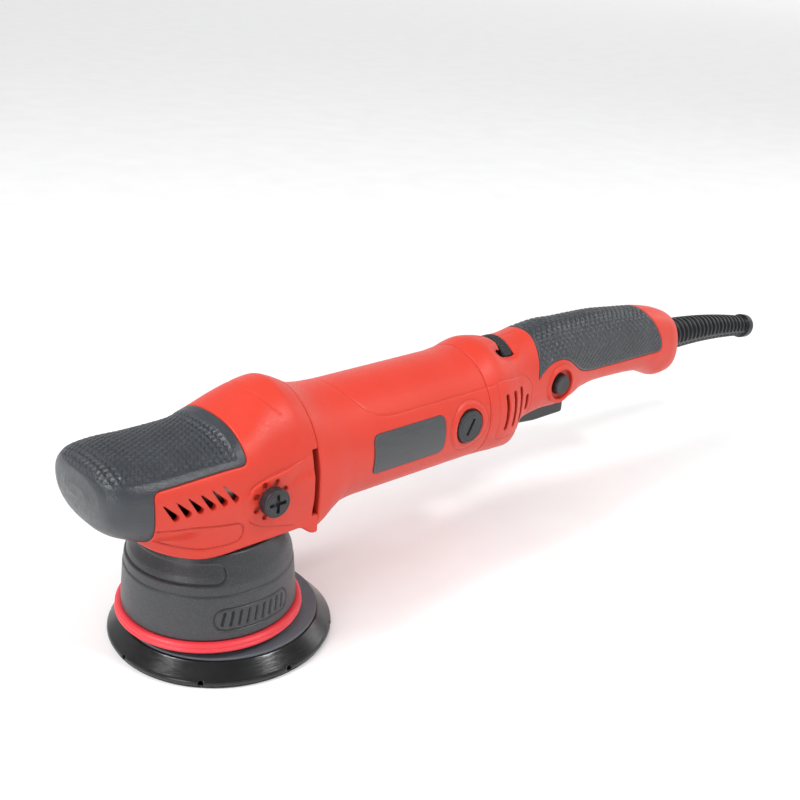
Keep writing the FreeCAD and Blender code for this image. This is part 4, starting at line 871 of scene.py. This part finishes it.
def palm_grip(x, y, z):
    """Soft cap over the nose, scaled on top and smooth round its rim."""
    outside = nose_and_collar(x, y, z)
    body = carve(outside, outside + RUBBER_DEPTH, 0.7)
    body = blunt_max(body, outline_distance(PALM_EDGE, x, z) + 0.12, 1.0)
    row = x / 3.3
    column = y / 3.6 + 0.5 * (np.floor(row) % 2)
    bow = 2 * (column - np.floor(column)) - 1
    step = row - 0.42 * bow * bow
    scale = step - np.floor(step)
    scale = np.minimum(scale, 4.0 * (1 - scale))
    border = 117.4 - 0.02 * (x + 30)
    on_top = smooth_step(z, border, border + 1.6) * smooth_step(-x, 3.4, 5.0)
    return body + 0.95 * (1 - scale) * on_top * (outside > -0.9)


def plug(x, y, z):
    """Side socket plug with a cross slot and a stepped rim."""
    radius = np.hypot(x - PLUG_X, z - PLUG_Z)
    body = blunt_max(radius - PLUG_RADIUS, slab(y, PLUG_SEAT + 0.1, PLUG_FACE), 1.4)
    body = engrave(body, radius - 6.2, 0.3, 0.25)
    body = np.minimum(body, np.maximum(radius - 3.9, slab(y, 32.0, 41.0)))
    for degrees in (0, 90):
        along, across = turned_plane(x - PLUG_X, z - PLUG_Z, degrees)
        slot = blunt_max(np.abs(across) - 1.0, np.abs(along) - 5.2, 0.6)
        body = carve(body, np.maximum(slot, PLUG_FACE - 2.0 - y), 0.35)
    return body


def build_head():
    """The head casing, its palm grip and its two plugs."""
    low = (NOSE - 1.5, -41, 60)
    high = (SEAM_FRONT + 1.5, 41, 146)
    add_piece("head_casing", skin_of(head_casing, low, high, 0.66))
    add_piece("palm_grip", skin_of(palm_grip, (NOSE - 1.5, -40, 77), (3, 40, 134), 0.46))
    add_round_pair("side_plugs", plug, 31, 0.25)


# ---- motor housing

MOTOR_ROOM = 32.4
BADGE_EDGE = rounded_outline([
    (BADGE_LOW[0], BADGE_LOW[2]), (BADGE_HIGH[0], BADGE_LOW[2]),
    (BADGE_HIGH[0], BADGE_HIGH[2]), (BADGE_LOW[0], BADGE_HIGH[2])], 5.0)
# Outline of the raised top panel: place along X, and distance round the tube from its top
PANEL_LINE = ((75.5, 0), (76, 4), (80, 17), (86, 27.5), (92, 32.4), (99, 34.4),
              (108, PANEL_ARC), (190, PANEL_ARC))


def badge_plate(x, y, z):
    """A thin plate that follows the tube."""
    radius = np.hypot(y, z - MOTOR_AXIS)
    edge = outline_distance(BADGE_EDGE, x, z)
    body = blunt_max(slab(radius, BADGE_RADIUS - 0.85, BADGE_RADIUS), edge, 0.35)
    body = engrave(body, edge + 1.5, 0.22, 0.12, radius > BADGE_RADIUS - 0.3)
    return np.maximum(body, 20.0 - np.abs(y))


def motor_housing(x, y, z):
    """Tube with a raised top panel, a bulkhead at each end, and wells for caps and badges."""
    tube = MOTOR.distance(x, y, z)
    side = np.hypot(x - CAP_X, z - MOTOR_AXIS)
    radius = np.hypot(y, z - MOTOR_AXIS)
    on_side = np.abs(y) > 20
    body = tube - 0.7 * (1 - smooth_step(side - 15.0, -0.9, 0.3)) * on_side
    body = engrave(body, side - 16.0, 0.35, 0.35, on_side)
    around = np.arctan2(np.abs(y), z - MOTOR_AXIS) * TUBE_RADIUS
    body = engrave(body, line_distance(PANEL_LINE, x, around), 0.45, 0.38)
    body = blunt_max(body, slab(x, SEAM_FRONT + SEAM_GAP, SEAM_REAR - SEAM_GAP), 0.9)
    between_bulkheads = slab(x, SEAM_FRONT + 5, SEAM_REAR - 7.6)
    body = carve(body, np.maximum(radius - MOTOR_ROOM, between_bulkheads), 0.5)
    body = carve(body, np.maximum(radius - 17.0, x - SEAM_FRONT - 8), 0.5)
    air = np.abs(radius - 20.0) - 4.5
    air = np.maximum(air, 3.0 - np.minimum(np.abs(y), np.abs(z - MOTOR_AXIS)))
    body = carve(body, np.maximum(air, SEAM_REAR - 12 - x), 0.5)
    recess = blunt_max(side - CAP_RADIUS - 0.7, CAP_FACE - 3.5 - np.abs(y), 0.6)
    body = carve(body, np.maximum(recess, 25.0 - np.abs(y)), 0.6)
    well = np.maximum(outline_distance(BADGE_EDGE, x, z) - 0.15, 20.0 - np.abs(y))
    return carve(body, np.maximum(well, BADGE_RADIUS - 0.9 - radius), 0.3)


def brush_cap(x, y, z):
    """Slotted screw cap, its slot leaning forward."""
    radius = np.hypot(x - CAP_X, z - MOTOR_AXIS)
    back = CAP_FACE - 3.4
    body = blunt_max(radius - CAP_RADIUS, slab(y, back, CAP_FACE), 1.1)
    body = engrave(body, radius - 8.2, 0.3, 0.22)
    body = np.minimum(body, np.maximum(radius - 7.4, slab(y, 31.1, back + 1.0)))
    along, across = turned_plane(x - CAP_X, z - MOTOR_AXIS, 62)
    slot = blunt_max(np.abs(across) - 0.95, np.abs(along) - 5.5, 0.6)
    return carve(body, np.maximum(slot, CAP_FACE - 1.3 - y), 0.35)


def build_motor():
    """The motor housing, its two badges and its two brush caps."""
    low = (SEAM_FRONT - 1, -40, 56)
    high = (SEAM_REAR + 1, 40, 140)
    add_piece("motor_housing", skin_of(motor_housing, low, high, 0.78))
    low = (BADGE_LOW[0] - 1, 31, BADGE_LOW[2] - 1)
    high = (BADGE_HIGH[0] + 1, 37, BADGE_HIGH[2] + 1)
    add_piece("badges", mirrored(*skin_of(badge_plate, low, high, 0.33)))
    add_round_pair("brush_caps", brush_cap, 30.5, 0.27)


# ---- handle

SCREW_PLACES = ((196, 72), (229, 121), (288, 91), (340, 90), (386, 78.5))
GRIP_EDGE = rounded_outline([
    (240, 190), (238, 134), (235.6, 124), (233.5, 113), (232, 106), (236, 109.5), (242, 113),
    (250, 115.3), (258, 115.6), (266, 112.5), (274, 106.5), (281, 102), (288, 100), (298, 98.4),
    (330, 97.6), (371, 97.2), (374.5, 99.5), (373, 106), (367, 118), (359, 130), (352, 190)], 3.0)
VENT_PANEL = rounded_outline([
    (187, 79), (187, 118), (217, 114.5), (225.5, 107), (225.5, 86), (217, 78)], 5.0)
GUARD_Z = 98.5


def handle_vents(x, y, z):
    """Three long air slots and a short one on each side, slightly bowed."""
    half = 1.6
    slots = ((195, 84.5, 108.5), (203.6, 84.5, 108.5), (212.2, 84.5, 108.5), (220.4, 90, 101))
    spans = [((place, low + half), (place, high - half)) for place, low, high in slots]
    bowed = x + 0.8 * ((z - 96.5) / 12.0) ** 2 - 0.4
    return np.maximum(bars_distance(spans, half, half, bowed, z), 15.0 - np.abs(y))


def thumb_scoops(x, y, z):
    """Finger relief beside the speed dial."""
    return np.sqrt(((x - 210.5) / 1.45) ** 2 + (np.abs(y) - 18.0) ** 2 + (z - 134.0) ** 2) - 9.0


def handle_casing(x, y, z):
    """Hollow handle, cut for the grip, trigger, dial, lock button, screws and cord."""
    outside = blunt_max(HANDLE.distance(x, y, z), x - TAIL, 5.0)
    panel = outline_distance(VENT_PANEL, x, z)
    body = engrave(outside, panel, 0.40, 0.40, np.abs(y) > 12)
    around = np.arctan2(np.abs(y), z - MOTOR_AXIS) * TUBE_RADIUS
    body = engrave(body, around - PANEL_ARC, 0.45, 0.38, x < 186)
    body = carve(body, thumb_scoops(x, y, z), 3.0)
    body = blunt_max(body, SEAM_REAR + SEAM_GAP - x, 0.9)
    room = HANDLE.distance(x, y, z) + HANDLE_WALL
    body = carve(body, np.maximum(room, x - TAIL + 6.0), 0.6)
    recess = np.maximum(outline_distance(GRIP_EDGE, x, z), -(outside + RUBBER_DEPTH + 0.1))
    body = carve(body, recess, 0.6)
    body = carve(body, handle_vents(x, y, z), 0.6)
    low = (TRIGGER_LOW[0] - 0.6, -10, 50)
    body = carve(body, box_distance(x, y, z, low, (TRIGGER_HIGH[0] + 1, 10, 91)), 0.9)
    wheel = np.hypot(y, z - DIAL_Z) - DIAL_RADIUS - 0.6
    slot = slab(x, DIAL_LOW[0] - 0.6, DIAL_HIGH[0] + 0.6)
    body = carve(body, np.maximum(wheel, slot), 0.8)
    lock = np.hypot(x - LOCK_X, z - LOCK_Z)
    lip = blunt_max(lock - 13.0, slab(y, -LOCK_LIP, -15.0), 1.6)
    body = blunt_min(body, lip, 1.2)
    hole = np.maximum(lock - LOCK_RADIUS - 0.25, y + 12)
    body = carve(body, np.minimum(hole, np.maximum(lock - 10.2, y + 23)), 0.9)
    for place, height in SCREW_PLACES:
        bore = np.hypot(x - place, z - height) - 3.9
        body = carve(body, np.maximum(bore, 11.6 - y), 0.5)
    cord = np.hypot(y, z - GUARD_Z)
    return carve(body, np.maximum(cord - 12.9, 380.0 - x), 1.0)


def rear_grip(x, y, z):
    """Soft grip let into the handle, with diamond knurls."""
    outside = HANDLE.distance(x, y, z)
    body = carve(outside, outside + RUBBER_DEPTH, 0.7)
    edge = outline_distance(GRIP_EDGE, x, z)
    body = blunt_max(body, edge + 0.12, 0.9)
    around = np.arctan2(y, z - 104.0) * 24.0
    first, second = x / 5.0 + around / 5.2, x / 5.0 - around / 5.2
    diamond = np.minimum(np.minimum(off_whole(first), off_whole(second)) / 0.26, 1.0)
    inside = smooth_step(-edge, 1.4, 2.6)
    return body + 0.65 * (1 - diamond) * inside * (outside > -0.9)


def add_halves(stem, shape, low, high, half, margin, cell):
    """The left and right half of a casing, each cut at the middle plane with a broken edge."""
    for end, side in (("_left", -1), ("_right", 1)):
        def on_side(x, y, z):
            return blunt_max(shape(x, y, z), 0.05 - side * y, 0.45)
        corner = (low[0], min(0, side * half) - margin, low[1])
        opposite = (high[0], max(0, side * half) + margin, high[1])
        add_piece(stem + end, skin_of(on_side, corner, opposite, cell))


def lock_button(x, y, z):
    """Dished button with a flange behind it and a stem to the switch."""
    radius = np.hypot(x - LOCK_X, z - LOCK_Z)
    cap = blunt_max(radius - LOCK_RADIUS, slab(y, LOCK_FACE, -19.2), 1.8)
    dish = np.sqrt(radius ** 2 + (y - LOCK_FACE + 22.0) ** 2) - 22.3
    cap = carve(cap, dish, 0.6)
    flange = np.maximum(radius - 8.5, slab(y, -19.9, -18.1))
    stem = np.maximum(radius - 3.95, slab(y, -19.0, LOCK_HIGH[1]))
    return np.minimum(np.minimum(cap, flange), stem)


def speed_dial(x, y, z):
    """Grooved wheel with a notch in its front edge at each of six settings."""
    radius = np.hypot(y, z - DIAL_Z)
    angle = np.arctan2(y, z - DIAL_Z)
    teeth = 48
    depth = 0.22 * (1 + np.cos(teeth * angle))
    body = blunt_max(radius - DIAL_RADIUS + depth, slab(x, DIAL_LOW[0], DIAL_HIGH[0]), 0.8)
    across = off_whole(angle * 3 / np.pi) * np.pi / 3 * DIAL_RADIUS
    dent = np.sqrt((x - DIAL_LOW[0]) ** 2 + across ** 2 + (radius - DIAL_RADIUS) ** 2) - 1.6
    body = carve(body, dent, 0.4)
    return np.maximum(body, 3.1 - radius)


TRIGGER_SIDE = rounded_outline([
    (TRIGGER_LOW[0], 76.4), (TRIGGER_LOW[0] + 6, 71.0), (TRIGGER_LOW[0] + 30, TRIGGER_LOW[2]),
    (TRIGGER_HIGH[0], TRIGGER_LOW[2]), (TRIGGER_HIGH[0], 81), (TRIGGER_LOW[0] + 12, 81),
    (TRIGGER_LOW[0] + 10, 88.4), (TRIGGER_LOW[0], 88.4)], 2.2)


def trigger(x, y, z):
    """Paddle with finger ribs across its underside."""
    body = blunt_max(outline_distance(TRIGGER_SIDE, x, z), np.abs(y) - TRIGGER_HIGH[1], 1.6)
    ribs = np.where((x > 246) & (x < 276) & (z < 72), np.cos(2 * np.pi * x / 3.0), 0.0)
    body = body + 0.12 * (1 + ribs) * (z < 72) * (np.abs(y) < 8)
    return np.maximum(body, 1.6 - np.hypot(x - 227.0, z - 85.0))


def build_trigger_spring():
    """The return spring as its own coil."""
    low, high = corners_of("trigger_spring")
    wire, turns, steps, around = 0.4, 4, 200, 8
    coil = (high[0] - low[0]) / 2 - wire
    middle = (low[0] + high[0]) / 2
    share = np.linspace(0.0, 1.0, steps + 1)[:, None]
    turn = 2 * np.pi * turns * share
    section = 2 * np.pi * np.arange(around) / around
    reach = coil + wire * np.cos(section)
    height = low[2] + wire + (high[2] - low[2] - 2 * wire) * share + wire * np.sin(section)
    points = np.stack([middle + reach * np.cos(turn), reach * np.sin(turn), height], axis=2)
    points = points.reshape(-1, 3)
    cap = np.array([(0, 1, 2, 3), (0, 3, 4, 7), (4, 5, 6, 7)])
    quads = np.vstack([ring_faces(steps + 1, around), cap, cap[:, ::-1] + steps * around])
    spring = add_piece("trigger_spring", (points, outward(points, quads)))
    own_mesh(spring)


def build_handle():
    """Both halves of the handle with their grips and controls."""
    add_halves("handle", handle_casing, (SEAM_REAR - 2.5, 56.5), (TAIL + 2.5, 139.5), 38, 1.5, 0.66)
    add_halves("grip", rear_grip, (230, 94), (377, 138), 27, 1.0, 0.44)
    for node, shape, cell in (("lock_button", lock_button, 0.22), ("speed_dial", speed_dial, 0.28),
                              ("trigger", trigger, 0.4)):
        add_piece(node, skin_of(shape, *widened(*corners_of(node), 0.8), cell))
    build_trigger_spring()


# ---- cord guard

GUARD_START, SLEEVE_START, GUARD_END = 386.0, 402.0, 516.0
RIB_PITCH = 5.6


def sleeve_share(x):
    """How far along the ribbed sleeve x is, from 0 at the handle to 1 at the mouth."""
    return np.maximum(0.0, (x - SLEEVE_START) / (GUARD_END - SLEEVE_START))


def guard_centre(x):
    """Height of the drooping cord at x."""
    share = sleeve_share(x)
    return GUARD_Z - 3.0 * share - 10.0 * share * share


def guard_radius(x, angle):
    """Ribbed sleeve: rings joined by two lengthwise webs, and a plain collar at each end."""
    full = 12.2 - 4.5 * sleeve_share(x)
    valley = smooth_step(off_whole((x - SLEEVE_START) / RIB_PITCH), 0.20, 0.32)
    ribbed = smooth_step(x, SLEEVE_START - 1.0, SLEEVE_START) * smooth_step(-x, -509.0, -507.5)
    web = smooth_step(np.abs(np.abs(angle) - math.radians(112)), math.radians(6), math.radians(9))
    collar = 1.4 * smooth_step(x, 508.0, 509.5)
    return full - 1.9 * valley * ribbed * web + collar


def build_guard():
    """One closed skin: out along the sleeve, over the mouth and back along the bore."""
    around = 128
    outer_x = np.arange(GUARD_START - 2, GUARD_END - 0.5, 0.45 * COARSER)
    angles = 2 * np.pi * np.arange(around) / around
    facing = np.where(angles > np.pi, angles - 2 * np.pi, angles)
    bore = 3.95
    rows = [(x, guard_radius(x, facing)) for x in outer_x]
    mouth = guard_radius(GUARD_END, facing)
    rows += [(GUARD_END, mouth - 0.6), (GUARD_END, mouth - 2.4), (GUARD_END - 0.8, mouth - 3.0),
             (GUARD_END - 0.8, np.full(around, bore + 0.6))]
    rows += [(x, np.full(around, bore)) for x in np.linspace(GUARD_END - 1.4, GUARD_START - 2, 30)]
    points = np.empty((around, len(rows), 3))
    for row, (x, radius) in enumerate(rows):
        slope = guard_centre(x + 0.5) - guard_centre(x - 0.5)
        points[:, row, 0] = x - slope * radius * np.cos(angles)
        points[:, row, 1] = radius * np.sin(angles)
        points[:, row, 2] = guard_centre(x) + radius * np.cos(angles)
    points = points.reshape(-1, 3)
    add_piece("cord_guard", (points, outward(points, ring_faces(around, len(rows), True))))


# ---- the object

build_plate()
build_shroud()
build_head()
build_motor()
build_handle()
build_guard()

for name, node in NODES.items():
    if not node.hide_render:
        node.data.materials.clear()
        node.data.materials.append(material_for(SLOT_OF[name]))
        node.data.polygons.foreach_set("use_smooth", [False] * len(node.data.polygons))


# ---- floor, light and camera

def pale_floor():
    """Nearly white paper that is clear when seen from below."""
    shader = Shader("pale_floor")
    shader.tint(shader.noise(60.0), (0.90, 0.90, 0.90), (0.93, 0.93, 0.93))
    shader.set(Roughness=0.6)
    below = shader.add("NewGeometry", {}).outputs["Backfacing"]
    clear = shader.add("BsdfTransparent", {}).outputs["BSDF"]
    either = shader.add("MixShader", {0: below, 1: shader.surface.outputs["BSDF"], 2: clear})
    shader.links.new(either.outputs["Shader"], shader.nodes["Material Output"].inputs["Surface"])
    return shader.material


def build_floor():
    """Round floor that curves up into a backdrop on every side."""
    flat, bend, wall, around = 9.0, 2.0, 4.0, 96
    curve = np.radians(np.linspace(0.0, 90.0, 13))
    radius = np.concatenate([[0.0], flat + bend * np.sin(curve), [flat + bend]])
    height = np.concatenate([[0.0], bend * (1 - np.cos(curve)), [bend + wall]])
    points = turned(radius, height, around)
    mesh_object("floor", points, ring_faces(len(radius), around), pale_floor())


VIEW_AZIMUTH, VIEW_RISE, VIEW_ROLL = -43.26, 22.45, 3.87     # degrees
VIEW_RANGE = 0.6865    # metres from the target, like the target itself
VIEW_TARGET = Vector((0.1354, 0.0, 0.1068))
VIEW_LENS = 51.28      # focal length in millimetres


def main_view():
    """Turn of the main view before its roll; its columns point right, up and back."""
    level = Matrix.Rotation(math.radians(VIEW_AZIMUTH), 3, "Z")
    return level @ Matrix.Rotation(math.radians(90.0 - VIEW_RISE), 3, "X")


def build_camera():
    """The main view, rolled about its own axis."""
    view = main_view()
    place = (view @ Matrix.Rotation(math.radians(VIEW_ROLL), 3, "Z")).to_4x4()
    place.translation = VIEW_TARGET + view.col[2] * VIEW_RANGE
    lens = bpy.data.cameras.new("camera")
    lens.lens = VIEW_LENS
    camera = placed("camera", lens)
    camera.matrix_world = place
    bpy.context.scene.camera = camera


# Soft boxes: name, metres right of the target, towards the viewer and up, size, watts
SOFT_BOXES = (("key", -0.95, 0.55, 1.2, 0.32, 10), ("fill", 0.95, 0.35, 1.3, 0.28, 9),
              ("front", -0.9, 1.6, 0.35, 0.45, 5), ("rim", 1.5, -1.1, 0.8, 0.7, 3))
SUN_STRENGTH, SUN_WIDTH = 1.3, 60.0    # its width is in degrees
SKY_STRENGTH = 0.60
SKY_IN_REFLECTIONS = 0.30    # darker, so that glossy black parts stay black


def build_lights():
    """Soft boxes, a wide sun that isn't reflected, and an even sky."""
    right, _, back = main_view().col
    nearer = Vector((back.x, back.y, 0)).normalized()
    for name, aside, near, above, size, power in SOFT_BOXES:
        light = bpy.data.lights.new(name, "AREA")
        light.size = size
        light.energy = power
        lamp = placed(name, light)
        away = right * aside + nearer * near + Vector((0, 0, above))
        lamp.location = VIEW_TARGET + away
        lamp.rotation_euler = (-away).to_track_quat("-Z", "Y").to_euler()
    sun = bpy.data.lights.new("ceiling", "SUN")
    sun.energy = SUN_STRENGTH
    sun.angle = math.radians(SUN_WIDTH)
    lamp = placed("ceiling", sun)
    from_left = nearer * 0.8 - right * 0.6 + Vector((0, 0, 1.0))
    lamp.rotation_euler = from_left.to_track_quat("Z", "Y").to_euler()
    lamp.visible_glossy = False
    world = bpy.data.worlds.new("studio")
    world.use_nodes = True
    nodes, links = world.node_tree.nodes, world.node_tree.links
    sky = nodes["Background"]
    sky.inputs["Color"].default_value = (1.0, 1.0, 1.0, 1.0)
    ray = nodes.new("ShaderNodeLightPath")
    strength = nodes.new("ShaderNodeMapRange")
    strength.inputs["To Min"].default_value = SKY_STRENGTH
    strength.inputs["To Max"].default_value = SKY_IN_REFLECTIONS
    links.new(ray.outputs["Is Glossy Ray"], strength.inputs["Value"])
    links.new(strength.outputs["Result"], sky.inputs["Strength"])
    bpy.context.scene.world = world
    bpy.context.scene.view_settings.view_transform = "Standard"


build_floor()
build_lights()
build_camera()
